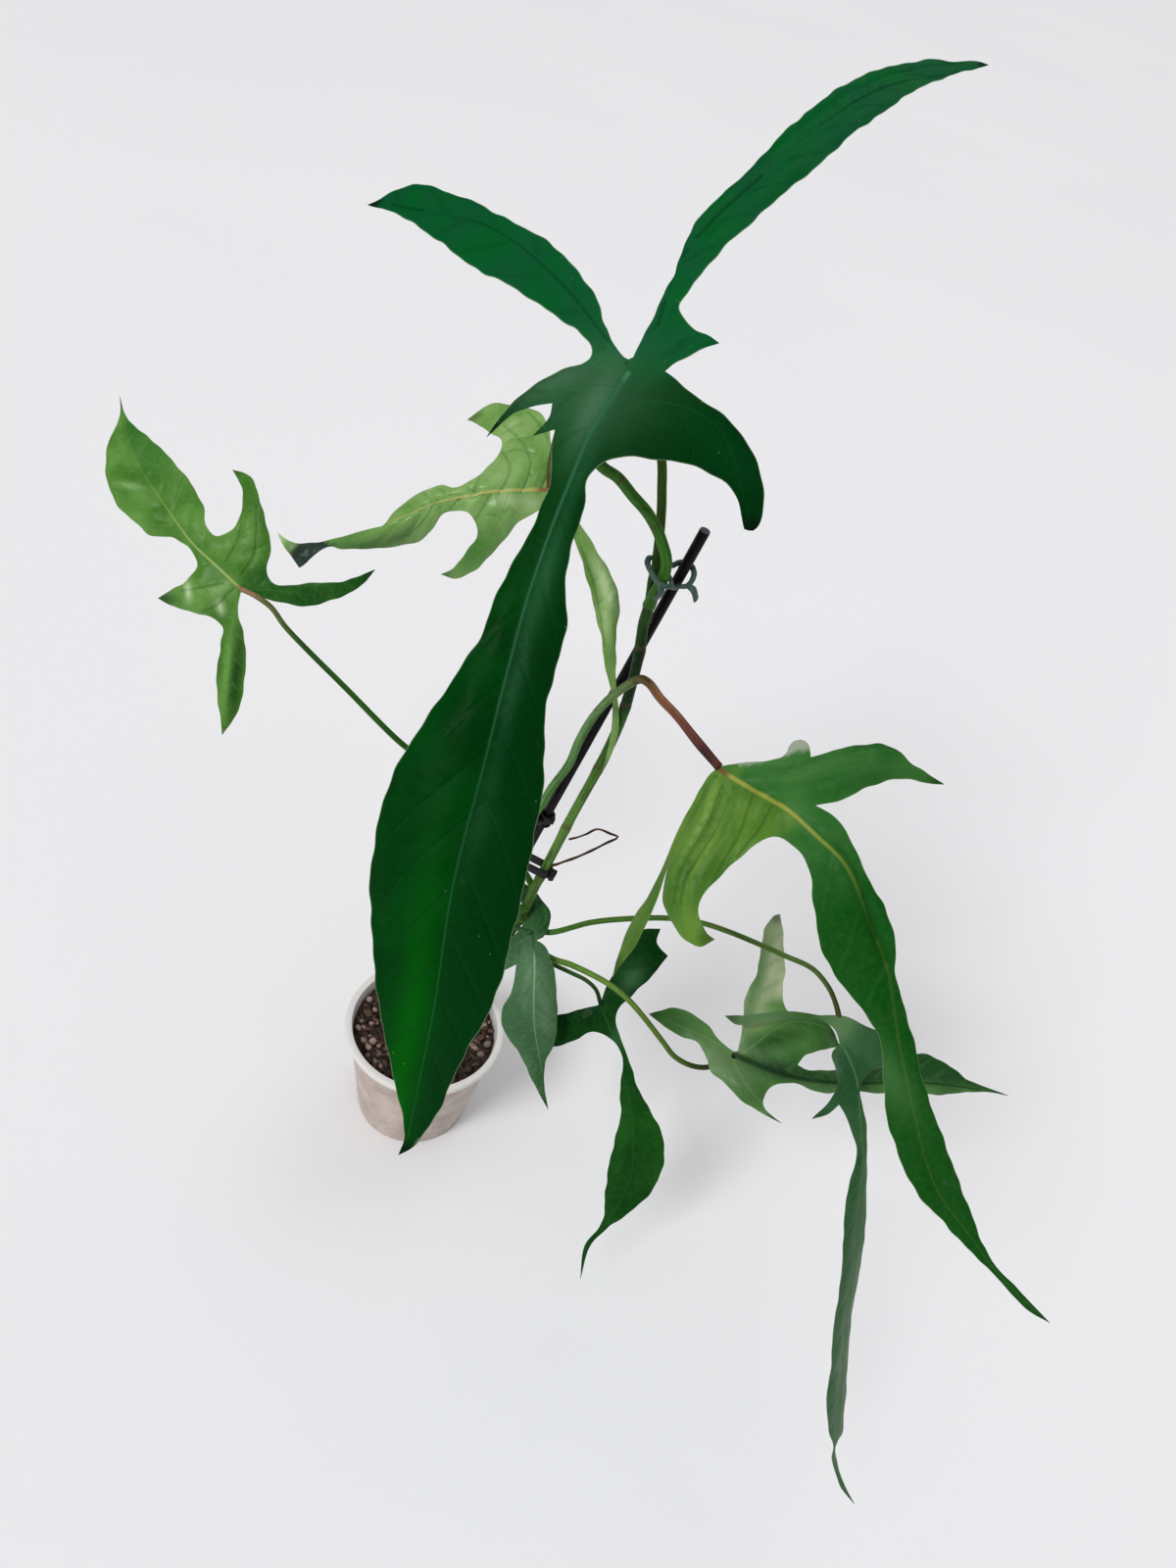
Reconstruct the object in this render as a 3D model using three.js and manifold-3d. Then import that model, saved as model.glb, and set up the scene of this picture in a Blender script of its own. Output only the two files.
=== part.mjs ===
// A climbing philodendron with eight lobed leaves, tied to a stake in a nursery pot.
// Millimetres, +Z up. The origin is the middle of the pot's foot, on the floor.
import * as THREE from "three";
import Module from "manifold-3d";
import { mergeVertices } from "three/addons/utils/BufferGeometryUtils.js";

const wasm = await Module();
wasm.setup();

// Driving sizes
const FIT = 0.3; // gap between two pieces that touch
const POT = { rim: 60, mouth: 54.6, shoulder: 56.2, foot: 43, height: 97, wall: 1.4, floor: 1.6 };
const POT_SIDES = 48;
const RIM = { flange: 2, lip: 5, round: 0.8 };
const DRAIN = { holes: 8, radius: 4, circle: 30 };
const MIX = { top: 89, bump: 1.6, rings: 7 };
const STAKE = { radius: 3, foot: [-14, -2, 11], top: [90, 12, 550], sides: 12 };
const STEM_RADIUS = 3.4;
const BLADE_THICK = 0.8;
const BLADE_STEP = 10; // distance between the points inside a blade
const RIM_STEP = 9; // distance between the points of a blade's outline
const GROOVE_WIDTH = 7; // how far the midrib's groove reaches to each side
const TIE_RADIUS = 0.9;
const CLIP = { height: 331, length: 9, radius: 5, jaw: 5 };
const BAND = { height: 291, width: 6, thick: 1.2, apart: 16.3, turn: -0.08 };

// Colours
const GREEN_DEEP = 0x0d4a22;
const GREEN_MID = 0x3f7a35;
const GREEN_LIGHT = 0x86ae62;
const GREEN_GREY = 0x4f7258;
const RED_BROWN = 0x7a4a40;
const BARK = 0x3a2c24;
const BLACK = 0x15131a;
const TIE_GREEN = 0x4d6f63;
const POT_WHITE = 0xd9d4cf;

const vec = (p) => new THREE.Vector3(...p);

// Solids in and out of the joining library

function toSolid(geometry) {
  const bare = new THREE.BufferGeometry();
  bare.setAttribute("position", geometry.getAttribute("position"));
  if (geometry.index) bare.setIndex(geometry.index);
  const merged = mergeVertices(bare, 1e-4);
  const mesh = new wasm.Mesh({
    numProp: 3,
    vertProperties: new Float32Array(merged.attributes.position.array),
    triVerts: new Uint32Array(merged.index.array),
  });
  return new wasm.Manifold(mesh);
}

function toGeometry(solid) {
  const mesh = solid.getMesh();
  const geometry = new THREE.BufferGeometry();
  geometry.setAttribute("position", new THREE.BufferAttribute(mesh.vertProperties, 3));
  geometry.setIndex(new THREE.BufferAttribute(mesh.triVerts, 1));
  return geometry;
}

// Keeps the largest body, so a scrap that a cut leaves behind is dropped.
function largest(solid) {
  const bodies = solid.decompose();
  return bodies.reduce((a, b) => (b.volume() > a.volume() ? b : a));
}

function cut(geometry, ...tools) {
  let solid = toSolid(geometry);
  for (const tool of tools) solid = solid.subtract(toSolid(tool));
  return toGeometry(largest(solid));
}

function join(...geometries) {
  return toGeometry(geometries.map(toSolid).reduce((a, b) => a.add(b)));
}

// A round rod along a smooth curve through the points. The radius may change from start to end,
// and size(t) gives it at each share t of the length.
function rod(points, size, sides = 8, step = 9, closed = false) {
  const curve = new THREE.CatmullRomCurve3(points.map(vec), closed, "centripetal");
  const count = Math.max(closed ? 12 : 2, Math.round(curve.getLength() / step));
  const frames = curve.computeFrenetFrames(count, closed);
  const position = [];
  const index = [];
  const rings = closed ? count : count + 1;
  for (let i = 0; i < rings; i++) {
    const centre = curve.getPointAt(i / count);
    const radius = typeof size === "function" ? size(i / count) : size;
    for (let j = 0; j < sides; j++) {
      const angle = (2 * Math.PI * j) / sides;
      const corner = centre.clone();
      corner.addScaledVector(frames.normals[i], radius * Math.cos(angle));
      corner.addScaledVector(frames.binormals[i], radius * Math.sin(angle));
      position.push(corner.x, corner.y, corner.z);
    }
  }
  for (let i = 0; i < count; i++) {
    for (let j = 0; j < sides; j++) {
      const a = i * sides + j;
      const b = i * sides + ((j + 1) % sides);
      const c = ((i + 1) % rings) * sides + ((j + 1) % sides);
      const d = ((i + 1) % rings) * sides + j;
      index.push(a, b, c, a, c, d);
    }
  }
  if (!closed) {
    const last = count * sides;
    for (let j = 1; j < sides - 1; j++) {
      index.push(0, j + 1, j);
      index.push(last, last + j, last + j + 1);
    }
  }
  const geometry = new THREE.BufferGeometry();
  geometry.setAttribute("position", new THREE.Float32BufferAttribute(position, 3));
  geometry.setIndex(index);
  return geometry;
}

// The room that a rod's neighbours leave for it: the rod, larger all round and longer at its ends.
function room(points, size, sides, step) {
  const beyond = (a, b) => vec(a).sub(vec(b)).setLength(FIT).add(vec(a)).toArray();
  const longer = [beyond(points[0], points[1]), ...points.slice(1, -1)];
  longer.push(beyond(points.at(-1), points.at(-2)));
  return rod(longer, typeof size === "function" ? (t) => size(t) + FIT : size + FIT, sides, step);
}

// A blade is drawn flat, with its tip up and its upper face to the viewer, and pins say where
// points of the flat drawing sit in space. A thin plate bends smoothly through all its pins.

function thinPlate(pins) {
  const n = pins.length;
  const bend = (r2) => (r2 > 1e-9 ? r2 * Math.log(r2) : 0);
  const spread = (u, v) => [...pins.map((p) => bend((p[0] - u) ** 2 + (p[1] - v) ** 2)), 1, u, v];
  const rows = pins.map((p) => [...spread(p[0], p[1]), p[2], p[3], p[4]]);
  for (const side of [() => 1, (p) => p[0], (p) => p[1]])
    rows.push([...pins.map(side), 0, 0, 0, 0, 0, 0]);
  const size = n + 3;
  for (let i = 0; i < size; i++) {
    let pivot = i;
    for (let j = i + 1; j < size; j++)
      if (Math.abs(rows[j][i]) > Math.abs(rows[pivot][i])) pivot = j;
    [rows[i], rows[pivot]] = [rows[pivot], rows[i]];
    for (let j = 0; j < size; j++) {
      const factor = rows[j][i] / rows[i][i];
      if (j !== i && factor !== 0)
        for (let k = i; k < size + 3; k++) rows[j][k] -= factor * rows[i][k];
    }
  }
  const weight = rows.map((row, i) => [0, 1, 2].map((k) => row[size + k] / row[i]));
  return (u, v) => {
    const point = [0, 0, 0];
    spread(u, v).forEach((s, i) => weight[i].forEach((w, k) => (point[k] += s * w)));
    return vec(point);
  };
}

// The outline is a closed chain of smooth stretches. Each stretch ends in a corner, a lobe's tip
// or a sharp notch, and the next one starts there.
function smoothOutline(stretches) {
  const loop = [];
  stretches.forEach((stretch, i) => {
    const before = stretches.at(i - 1).at(-1);
    const through = [before, ...stretch].map(([u, v]) => new THREE.Vector3(u, v, 0));
    const curve = new THREE.CatmullRomCurve3(through, false, "centripetal");
    const count = Math.max(through.length > 2 ? 2 : 1, Math.round(curve.getLength() / RIM_STEP));
    for (let k = 1; k <= count; k++) {
      const point = curve.getPointAt(k / count);
      loop.push(new THREE.Vector2(point.x, point.y));
    }
  });
  return THREE.ShapeUtils.isClockWise(loop) ? loop.reverse() : loop;
}

function inside(loop, u, v) {
  let odd = false;
  loop.forEach((a, i) => {
    const b = loop.at(i - 1);
    if (a.y > v !== b.y > v && u < ((b.x - a.x) * (v - a.y)) / (b.y - a.y) + a.x) odd = !odd;
  });
  return odd;
}

function distanceToLine(line, u, v) {
  let least = Infinity;
  for (let i = 1; i < line.length; i++) {
    const [a, b] = [line[i - 1], line[i]];
    const length2 = (b.x - a.x) ** 2 + (b.y - a.y) ** 2;
    const share = ((u - a.x) * (b.x - a.x) + (v - a.y) * (b.y - a.y)) / length2;
    const t = Math.min(1, Math.max(0, share));
    least = Math.min(least, Math.hypot(a.x + t * (b.x - a.x) - u, a.y + t * (b.y - a.y) - v));
  }
  return least;
}

// Points inside the outline: along each rib, then on an even grid between them.
function innerPoints(loop, ribs, step) {
  const rim = [...loop, loop[0]];
  const points = [];
  const clear = (u, v, room) =>
    inside(loop, u, v) &&
    distanceToLine(rim, u, v) > room &&
    points.every((p) => Math.hypot(p.x - u, p.y - v) > room);
  for (const rib of ribs) {
    const line = new THREE.SplineCurve(rib);
    const count = Math.round(line.getLength() / step);
    for (const p of line.getSpacedPoints(count)) if (clear(p.x, p.y, step * 0.3)) points.push(p);
  }
  const box = new THREE.Box2().setFromPoints(loop);
  let row = 0;
  for (let v = box.min.y; v < box.max.y; v += step * 0.866, row++)
    for (let u = box.min.x + (row % 2) * step * 0.5; u < box.max.x; u += step)
      if (clear(u, v, step * 0.52)) points.push(new THREE.Vector2(u, v));
  return points;
}

// Splits the outline into triangles, adds the inner points one by one, and turns any shared edge
// whose two triangles are better split the other way.
function triangulate(loop, inner) {
  const points = [...loop, ...inner];
  const across = new Map(); // start and end of an edge, to the third corner on its left
  const key = (a, b) => a * points.length + b;
  const edges = (a, b, c) => [[a, b, c], [b, c, a], [c, a, b]];
  const add = (...t) => edges(...t).forEach(([a, b, c]) => across.set(key(a, b), c));
  const drop = (...t) => edges(...t).forEach(([a, b]) => across.delete(key(a, b)));
  const turn = (a, b, c) =>
    (points[b].x - points[a].x) * (points[c].y - points[a].y) -
    (points[b].y - points[a].y) * (points[c].x - points[a].x);
  const inCircle = (a, b, c, d) => {
    const rows = [a, b, c].map((i) => [points[i].x - points[d].x, points[i].y - points[d].y]);
    const [p, q, r] = rows.map(([x, y]) => [x, y, x * x + y * y]);
    const minor = (s, t) => s[0] * t[1] - s[1] * t[0];
    return p[2] * minor(q, r) - q[2] * minor(p, r) + r[2] * minor(p, q) > 1e-6;
  };
  const relax = (a, b) => {
    const c = across.get(key(a, b));
    const d = across.get(key(b, a));
    if (c === undefined || d === undefined || !inCircle(a, b, c, d)) return;
    drop(a, b, c);
    drop(b, a, d);
    add(c, a, d);
    add(d, b, c);
    for (const [s, e] of [[c, a], [a, d], [d, b], [b, c]]) relax(s, e);
  };
  for (const face of THREE.ShapeUtils.triangulateShape(loop, [])) add(...face);
  loop.forEach((_, a) => {
    for (let b = 0; b < loop.length; b++) if (across.has(key(a, b))) relax(a, b);
  });
  inner.forEach((_, i) => {
    const p = loop.length + i;
    for (const [edge, c] of across) {
      const [a, b] = [Math.floor(edge / points.length), edge % points.length];
      if (turn(a, b, p) > 1e-6 && turn(b, c, p) > 1e-6 && turn(c, a, p) > 1e-6) {
        drop(a, b, c);
        add(a, b, p);
        add(b, c, p);
        add(c, a, p);
        for (const [s, e] of [[a, b], [b, c], [c, a]]) relax(s, e);
        break;
      }
    }
  });
  const faces = [];
  for (const [edge, c] of across) {
    const [a, b] = [Math.floor(edge / points.length), edge % points.length];
    if (a < b && a < c) faces.push([a, b, c]);
  }
  return { points, faces };
}

// A closed sheet of even thickness over the bent drawing, split alike on both faces. With some
// growth it reaches further out on all sides.
function sheet({ points, faces }, place, rimCount, growth) {
  const middle = points.map((p) => place(p.x, p.y));
  const normals = middle.map(() => new THREE.Vector3());
  for (const face of faces) {
    const [a, b, c] = face.map((i) => middle[i]);
    const normal = b.clone().sub(a).cross(c.clone().sub(a));
    face.forEach((i) => normals[i].add(normal));
  }
  normals.forEach((normal) => normal.normalize());
  const rim = middle.slice(0, rimCount).map((m, i) => {
    const along = middle[(i + 1) % rimCount].clone().sub(middle.slice(0, rimCount).at(i - 1));
    return m.clone().addScaledVector(along.cross(normals[i]).normalize(), growth);
  });
  const grown = [...rim, ...middle.slice(rimCount)];
  const position = [];
  for (const side of [1, -1])
    grown.forEach((m, i) => {
      const p = m.clone().addScaledVector(normals[i], side * (BLADE_THICK / 2 + growth));
      position.push(p.x, p.y, p.z);
    });
  const under = points.length;
  const index = [];
  for (const [a, b, c] of faces) index.push(a, b, c, under + a, under + c, under + b);
  for (let a = 0; a < rimCount; a++) {
    const b = (a + 1) % rimCount;
    index.push(a, under + a, under + b, a, under + b, b);
  }
  const geometry = new THREE.BufferGeometry();
  geometry.setAttribute("position", new THREE.Float32BufferAttribute(position, 3));
  geometry.setIndex(index);
  return geometry;
}

function blade({ pins, outline, ribs, groove, wave }) {
  const loop = smoothOutline(Object.values(outline));
  const lines = Object.values(ribs).map((rib) => rib.map(([u, v]) => new THREE.Vector2(u, v)));
  const plate = thinPlate(pins);
  // the plate sinks along the midrib and waves towards the margin
  const lift = (u, v) => {
    const away = Math.min(...lines.map((line) => distanceToLine(line, u, v)));
    const sunk = -groove * Math.exp(-((distanceToLine(lines[0], u, v) / GROOVE_WIDTH) ** 2));
    const ripple = Math.sin((2 * Math.PI * v) / wave.length + (u > 0 ? 0 : wave.lag));
    return sunk + wave.height * ripple * Math.min(1, away / wave.reach) ** 2;
  };
  const place = (u, v) => {
    const p = plate(u, v);
    const alongU = plate(u + 1, v).sub(p);
    const alongV = plate(u, v + 1).sub(p);
    const up = alongU.cross(alongV).normalize();
    return p.addScaledVector(up, lift(u, v));
  };
  const net = triangulate(loop, innerPoints(loop, lines, BLADE_STEP));
  return (growth) => sheet(net, place, loop.length, growth);
}

// Leaf a: the youngest and largest, in front, with a long tongue and two raised back lobes
const LEAF_A = {
  pins: [
    [0, 0, 34, -10, 631], [-4, 41, 26, -45, 611], [-9, 75, 23, -73, 591], [-11, 131, 21, -115, 554],
    [-7, 188, 23, -155, 513], [-3, 248, 24, -191, 464], [-2, 344, 31, -231, 377],
    [0, 390, 34, -246, 333], [36, 229, -16, -175, 472], [-33, 196, 49, -152, 504],
    [24, 33, 3, -27, 610], [51, 55, -22, -28, 586], [-49, 4, 80, -24, 622],
    [-94, 33, 109, -31, 577], [42, -19, 2, 22, 635], [118, -47, -60, 74, 642],
    [201, -52, -131, 115, 625], [6, -50, 43, 33, 656], [6, -127, 68, 97, 691],
    [-8, -227, 111, 180, 728], [-50, -314, 173, 252, 745], [-31, -28, 70, 0, 649],
  ],
  outline: {
    backLobeLeftUpper: [
      [3, -2], [18, -11], [44, -34], [78, -51], [110, -58], [149, -67], [182, -70], [201, -52],
    ],
    backLobeLeftLower: [
      [169, -47], [117, -29], [73, -20], [37, -10], [22, -1], [22, 5], [31, 14], [46, 33], [51, 55],
    ],
    sideLobeLeft: [[41, 41], [24, 33]],
    smallTooth: [[20, 40], [23, 50]],
    toothNotch: [[12, 46]],
    tongueLeft: [
      [7, 59], [1, 72], [0, 100], [5, 125], [7, 145], [25, 184], [34, 215], [36, 253], [30, 285],
      [20, 321], [8, 359], [-1, 380], [0, 390],
    ],
    tongueRight: [
      [-10, 369], [-21, 331], [-32, 291], [-34, 250], [-34, 209], [-30, 172], [-32, 128],
      [-25, 105], [-20, 74], [-15, 59], [-19, 49], [-40, 33], [-58, 25], [-77, 24], [-94, 33],
    ],
    sideLobeRight: [[-92, 20], [-83, 8], [-60, 1], [-33, 0], [-16, -3]],
    smallLobeRight: [[-18, -10], [-31, -28]],
    backLobeRightOuter: [
      [-17, -29], [-4, -37], [-1, -57], [-3, -101], [-10, -156], [-18, -213], [-31, -274],
      [-49, -315],
    ],
    backLobeRightInner: [[-25, -297], [1, -248], [14, -191], [17, -136], [19, -88], [8, -47], [1, -4]],
  },
  ribs: {
    midrib: [[-1, 4], [-4, 41], [-9, 75], [-11, 131], [-7, 188], [-3, 248], [-4, 313], [1, 387]],
    backLeft: [[-1, 2], [19, -9], [58, -31], [114, -50], [198, -53]],
    backRight: [[-2, 1], [-2, -22], [14, -71], [8, -146], [-10, -236], [-47, -313]],
    sideLeft: [[-1, 13], [15, 21], [32, 34], [49, 52]],
    sideRight: [[-2, 30], [-25, 11], [-52, 7], [-93, 30]],
  },
  groove: 2,
  wave: { height: 1, length: 96, lag: 1, reach: 34 },
};

// Leaf b: light green, behind leaf a, with its tip twisted and one back lobe hanging down
const LEAF_B = {
  pins: [
    [0, 0, 6, 30, 539], [-6, 29, -21, 19, 535], [-20, 57, -49, 12, 523], [-17, 83, -70, 7, 509],
    [-9, 103, -102, 6, 487], [22, 119, -135, 12, 477], [0, 127, -118, -2, 468],
    [34, 25, -25, 56, 551], [51, 53, -52, 72, 543], [-32, 28, -20, 12, 510], [-56, 62, -43, 18, 476],
    [-34, 93, -76, 3, 490], [-6, 75, -68, 20, 515], [-21, -21, 29, 21, 523], [-39, -28, 40, 18, 507],
    [-78, -37, 56, 9, 473], [-118, -43, 70, 0, 439], [-167, -37, 74, -6, 388],
  ],
  outline: {
    sideLobeUpper: [[4, -3], [34, 4], [49, 13], [56, 30], [60, 42], [51, 53]],
    tongueUpper: [
      [39, 41], [29, 30], [18, 31], [0, 41], [-8, 50], [-4, 58], [-5, 70], [-10, 81], [-18, 88],
    ],
    twistUpper: [[-8, 103], [11, 117], [22, 119]],
    twistEnd: [[0, 127]],
    tongueLower: [
      [-11, 107], [-21, 103], [-36, 92], [-39, 76], [-35, 64], [-29, 57], [-23, 40], [-30, 34],
      [-42, 40], [-53, 53], [-56, 62],
    ],
    sideLobeLower: [
      [-58, 50], [-47, 32], [-32, 20], [-21, 13], [-12, 4], [-8, -5], [-14, -12], [-26, -17],
      [-43, -23], [-73, -32], [-97, -36], [-118, -41], [-144, -41], [-167, -37],
    ],
    hangingLobe: [
      [-152, -43], [-134, -46], [-109, -43], [-91, -42], [-72, -42], [-54, -41], [-39, -34],
      [-23, -25], [-14, -17], [-1, -9],
    ],
  },
  ribs: {
    midrib: [[0, 0], [-6, 29], [-20, 57], [-17, 83], [-9, 103], [8, 120]],
    sideUpper: [[-2, 9], [24, 7], [45, 22], [52, 51]],
    sideLower: [[-5, 22], [-26, 25], [-48, 40], [-56, 59]],
    hanging: [[-1, -2], [-9, -14], [-28, -24], [-55, -35], [-84, -38], [-118, -43], [-160, -38]],
  },
  groove: 1.5,
  wave: { height: 1.2, length: 37, lag: 2, reach: 20 },
};

// Leaf c: small, mid green, out to the left
const LEAF_C = {
  pins: [
    [0, 0, -180, 71, 389], [-4, 20, -198, 77, 396], [-9, 44, -220, 86, 403],
    [-11, 76, -245, 103, 413], [-11, 104, -266, 120, 421], [-11, 130, -285, 137, 427],
    [0, 173, -308, 171, 443], [38, 35, -183, 103, 429], [39, 74, -211, 130, 436],
    [28, -28, -142, 83, 390], [82, -38, -110, 128, 393], [-35, -26, -180, 59, 347],
    [-85, -59, -178, 39, 291], [-24, 15, -207, 66, 380], [-56, 35, -238, 75, 360],
    [-28, 132, -297, 130, 417], [10, 70, -227, 111, 422],
  ],
  outline: {
    backLobeRightLower: [[2, -1], [3, -7], [10, -19], [22, -33], [41, -41], [65, -43], [83, -38]],
    backLobeRightUpper: [
      [57, -34], [32, -22], [19, -13], [18, -5], [32, 11], [38, 25], [46, 50], [46, 64], [39, 74],
    ],
    tongueRight: [
      [38, 59], [31, 44], [19, 35], [7, 36], [5, 47], [10, 59], [11, 74], [10, 95], [6, 120],
      [-1, 142], [-3, 159], [0, 173],
    ],
    tongueLeft: [
      [-7, 158], [-22, 144], [-35, 124], [-39, 103], [-37, 83], [-32, 67], [-18, 55], [-13, 43],
      [-14, 30], [-28, 27], [-56, 35],
    ],
    sideLobeLeft: [[-46, 19], [-29, -1], [-27, -11], [-39, -18], [-55, -28], [-67, -38], [-85, -59]],
    hangingLobe: [[-67, -56], [-43, -44], [-22, -25], [-12, -11], [-2, -2]],
  },
  ribs: {
    midrib: [[0, 0], [-4, 20], [-9, 44], [-11, 76], [-12, 104], [-11, 129], [-2, 167]],
    sideUpper: [[-2, 15], [20, 20], [38, 40], [40, 71]],
    backRight: [[2, -2], [13, -12], [33, -31], [78, -38]],
    hanging: [[-2, -1], [-16, -11], [-45, -31], [-82, -57]],
    sideLeft: [[-3, 1], [-19, 7], [-52, 32]],
  },
  groove: 1.6,
  wave: { height: 1.2, length: 52, lag: 2.5, reach: 26 },
};

// Leaf d: large, out to the right, on a red stalk
const LEAF_D = {
  pins: [
    [0, 0, 130, -65, 464], [-7, 21, 149, -76, 466], [-14, 38, 166, -85, 467],
    [-18, 58, 184, -95, 463], [-21, 77, 200, -104, 457], [-21, 95, 213, -113, 447],
    [-15, 131, 235, -126, 422], [7, 187, 263, -153, 376], [20, 248, 297, -176, 328],
    [19, 315, 344, -192, 284], [0, 366, 392, -192, 257], [-28, 14, 159, -59, 474],
    [-66, 30, 196, -46, 486], [-102, 70, 247, -37, 472], [-30, 109, 228, -109, 441],
    [-1, 69, 183, -101, 444], [8, 127, 217, -130, 407], [14, 31, 146, -90, 447],
    [54, 35, 126, -109, 417], [55, 67, 151, -126, 406], [-2, 44, 164, -91, 455],
    [30, 0, 125, -69, 442], [73, -6, 119, -85, 401], [128, -2, 110, -112, 340],
  ],
  outline: {
    smallBackLobe: [[-2, -1], [-20, 7], [-31, 10], [-37, 9], [-47, 10]],
    smallNotch: [[-43, 19]],
    sideLobeUpper: [[-53, 22], [-68, 27], [-83, 34], [-89, 48], [-103, 70]],
    sideLobeLower: [[-74, 52], [-58, 49], [-42, 48], [-28, 43]],
    tongueRight: [
      [-32, 52], [-33, 65], [-31, 81], [-30, 109], [-27, 122], [-18, 136], [-6, 175], [2, 206],
      [6, 247], [12, 309], [7, 334], [0, 366],
    ],
    tongueLeft: [
      [8, 349], [15, 317], [25, 274], [31, 243], [27, 200], [15, 176], [8, 160], [8, 139],
      [10, 108], [4, 88], [-3, 73], [-5, 56], [0, 46], [12, 43], [33, 46], [49, 50], [56, 61],
      [55, 67],
    ],
    frontLobe: [[64, 63], [67, 51], [64, 36], [56, 24], [37, 14], [19, 7], [11, 2]],
    hangingLobeFront: [[34, 4], [72, 5], [100, 4], [128, -2]],
    hangingLobeBack: [[112, -14], [74, -10], [40, -5], [12, -4], [1, -3]],
  },
  ribs: {
    midrib: [
      [0, 0], [-7, 21], [-14, 38], [-18, 58], [-22, 77], [-21, 96], [-15, 131], [7, 187],
      [20, 248], [19, 316], [2, 362],
    ],
    side: [[-5, 12], [-23, 24], [-53, 32], [-86, 46], [-100, 67]],
    hanging: [[4, -1], [30, 0], [73, -5], [122, -3]],
    front: [[-3, 9], [17, 23], [44, 33], [58, 47], [57, 64]],
  },
  groove: 1.8,
  wave: { height: 1.2, length: 74, lag: 1.5, reach: 26 },
};

// Leaf e: old and small, low on the right, its lobes spread like a star
const LEAF_E = {
  pins: [
    [0, 0, 205, -64, 244], [4, 23, 228, -69, 246], [-1, 66, 270, -68, 251], [-7, 96, 300, -60, 254],
    [-7, 148, 349, -45, 251], [0, 190, 389, -34, 243], [-26, 121, 321, -43, 269],
    [9, 64, 269, -76, 245], [-10, -34, 171, -53, 246], [-8, -61, 147, -45, 236],
    [8, -8, 197, -71, 241], [19, 10, 215, -82, 238], [36, 40, 245, -88, 221],
    [-47, 9, 215, -21, 263], [-104, 8, 215, 33, 280], [-20, -1, 205, -46, 254],
    [-29, 25, 230, -40, 262], [-35, 50, 256, -34, 261], [-30, 68, 271, -38, 251],
  ],
  outline: {
    backLobeUpper: [[-2, 0], [-6, -11], [-14, -21], [-18, -30], [-18, -45], [-8, -61]],
    backLobeLower: [
      [-2, -42], [-1, -25], [8, -17], [16, -12], [20, -3], [27, 9], [32, 23], [36, 40],
    ],
    tongueLower: [
      [29, 26], [24, 23], [15, 26], [8, 38], [9, 50], [8, 59], [3, 70], [1, 80], [1, 97],
      [-1, 137], [-3, 172], [0, 191],
    ],
    tongueUpper: [[-11, 159], [-24, 132], [-28, 115], [-22, 100], [-16, 82], [-10, 63], [-3, 46], [-4, 39]],
    sideLobeLower: [[-12, 43], [-22, 58], [-30, 69]],
    raisedLobeRight: [
      [-35, 62], [-37, 49], [-36, 27], [-44, 22], [-64, 20], [-89, 15], [-104, 10],
    ],
    raisedLobeLeft: [[-101, 6], [-90, 2], [-59, 2], [-36, -2], [-16, 0], [-3, 1]],
  },
  ribs: {
    midrib: [[0, 0], [4, 23], [4, 39], [-1, 66], [-7, 96], [-7, 148], [-1, 186]],
    back: [[-1, -3], [-6, -24], [-9, -57]],
    lower: [[3, -1], [16, 9], [33, 35]],
    raised: [[-3, 1], [-38, 5], [-75, 7], [-101, 8]],
    side: [[-2, 4], [-28, 29], [-35, 60]],
  },
  groove: 1.2,
  wave: { height: 1, length: 42, lag: 2, reach: 20 },
};

// Leaf f: old and narrow, right, its long tongue hanging almost to the floor
const LEAF_F = {
  pins: [
    [0, 0, 257, -73, 294], [-3, 9, 263, -80, 291], [-6, 26, 272, -91, 282], [-6, 69, 287, -116, 250],
    [1, 118, 297, -143, 210], [8, 182, 311, -176, 156], [13, 257, 330, -212, 93],
    [0, 307, 357, -230, 53], [-18, 0, 274, -68, 299], [-44, 11, 300, -63, 290],
    [-24, 21, 286, -80, 286], [7, 14, 256, -87, 287], [22, 43, 252, -103, 259],
    [4, -15, 248, -60, 296], [32, -24, 224, -55, 281], [69, -33, 192, -50, 260],
    [-16, 70, 294, -111, 245], [13, 120, 290, -150, 216], [-13, 120, 307, -137, 202],
    [22, 182, 302, -183, 166], [-7, 182, 319, -169, 146], [26, 220, 311, -202, 134],
    [-4, 220, 329, -188, 114], [24, 257, 323, -217, 101], [1, 257, 337, -207, 85],
  ],
  outline: {
    strapLower: [[2, -9], [9, -16], [20, -21], [34, -22], [51, -24], [62, -26], [69, -34]],
    strapUpper: [
      [50, -31], [30, -28], [17, -23], [8, -19], [-2, -18], [-11, -13], [-21, -6], [-37, 0],
      [-54, 14],
    ],
    tongueRight: [
      [-37, 15], [-22, 18], [-14, 20], [-8, 26], [-11, 47], [-13, 70], [-14, 95], [-13, 120],
      [-10, 150], [-7, 182], [-4, 220], [1, 257], [1, 282], [0, 307],
    ],
    tongueLeft: [
      [16, 282], [24, 257], [26, 220], [22, 182], [17, 150], [13, 120], [9, 95], [-2, 68], [2, 46],
      [6, 37],
    ],
    hookLower: [[13, 41], [22, 44]],
    hookUpper: [[11, 36], [7, 25], [7, 14], [7, 5], [1, 0]],
  },
  ribs: {
    midrib: [[0, 0], [-3, 9], [-6, 25], [-7, 69], [0, 118], [7, 182], [13, 257], [2, 303]],
    strap: [[0, -2], [4, -13], [31, -25], [66, -31]],
    side: [[-2, 2], [-18, 1], [-48, 13]],
    hook: [[-2, 18], [5, 31], [19, 42]],
  },
  groove: 0.8,
  wave: { height: 0.6, length: 60, lag: 2, reach: 14 },
};

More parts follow.
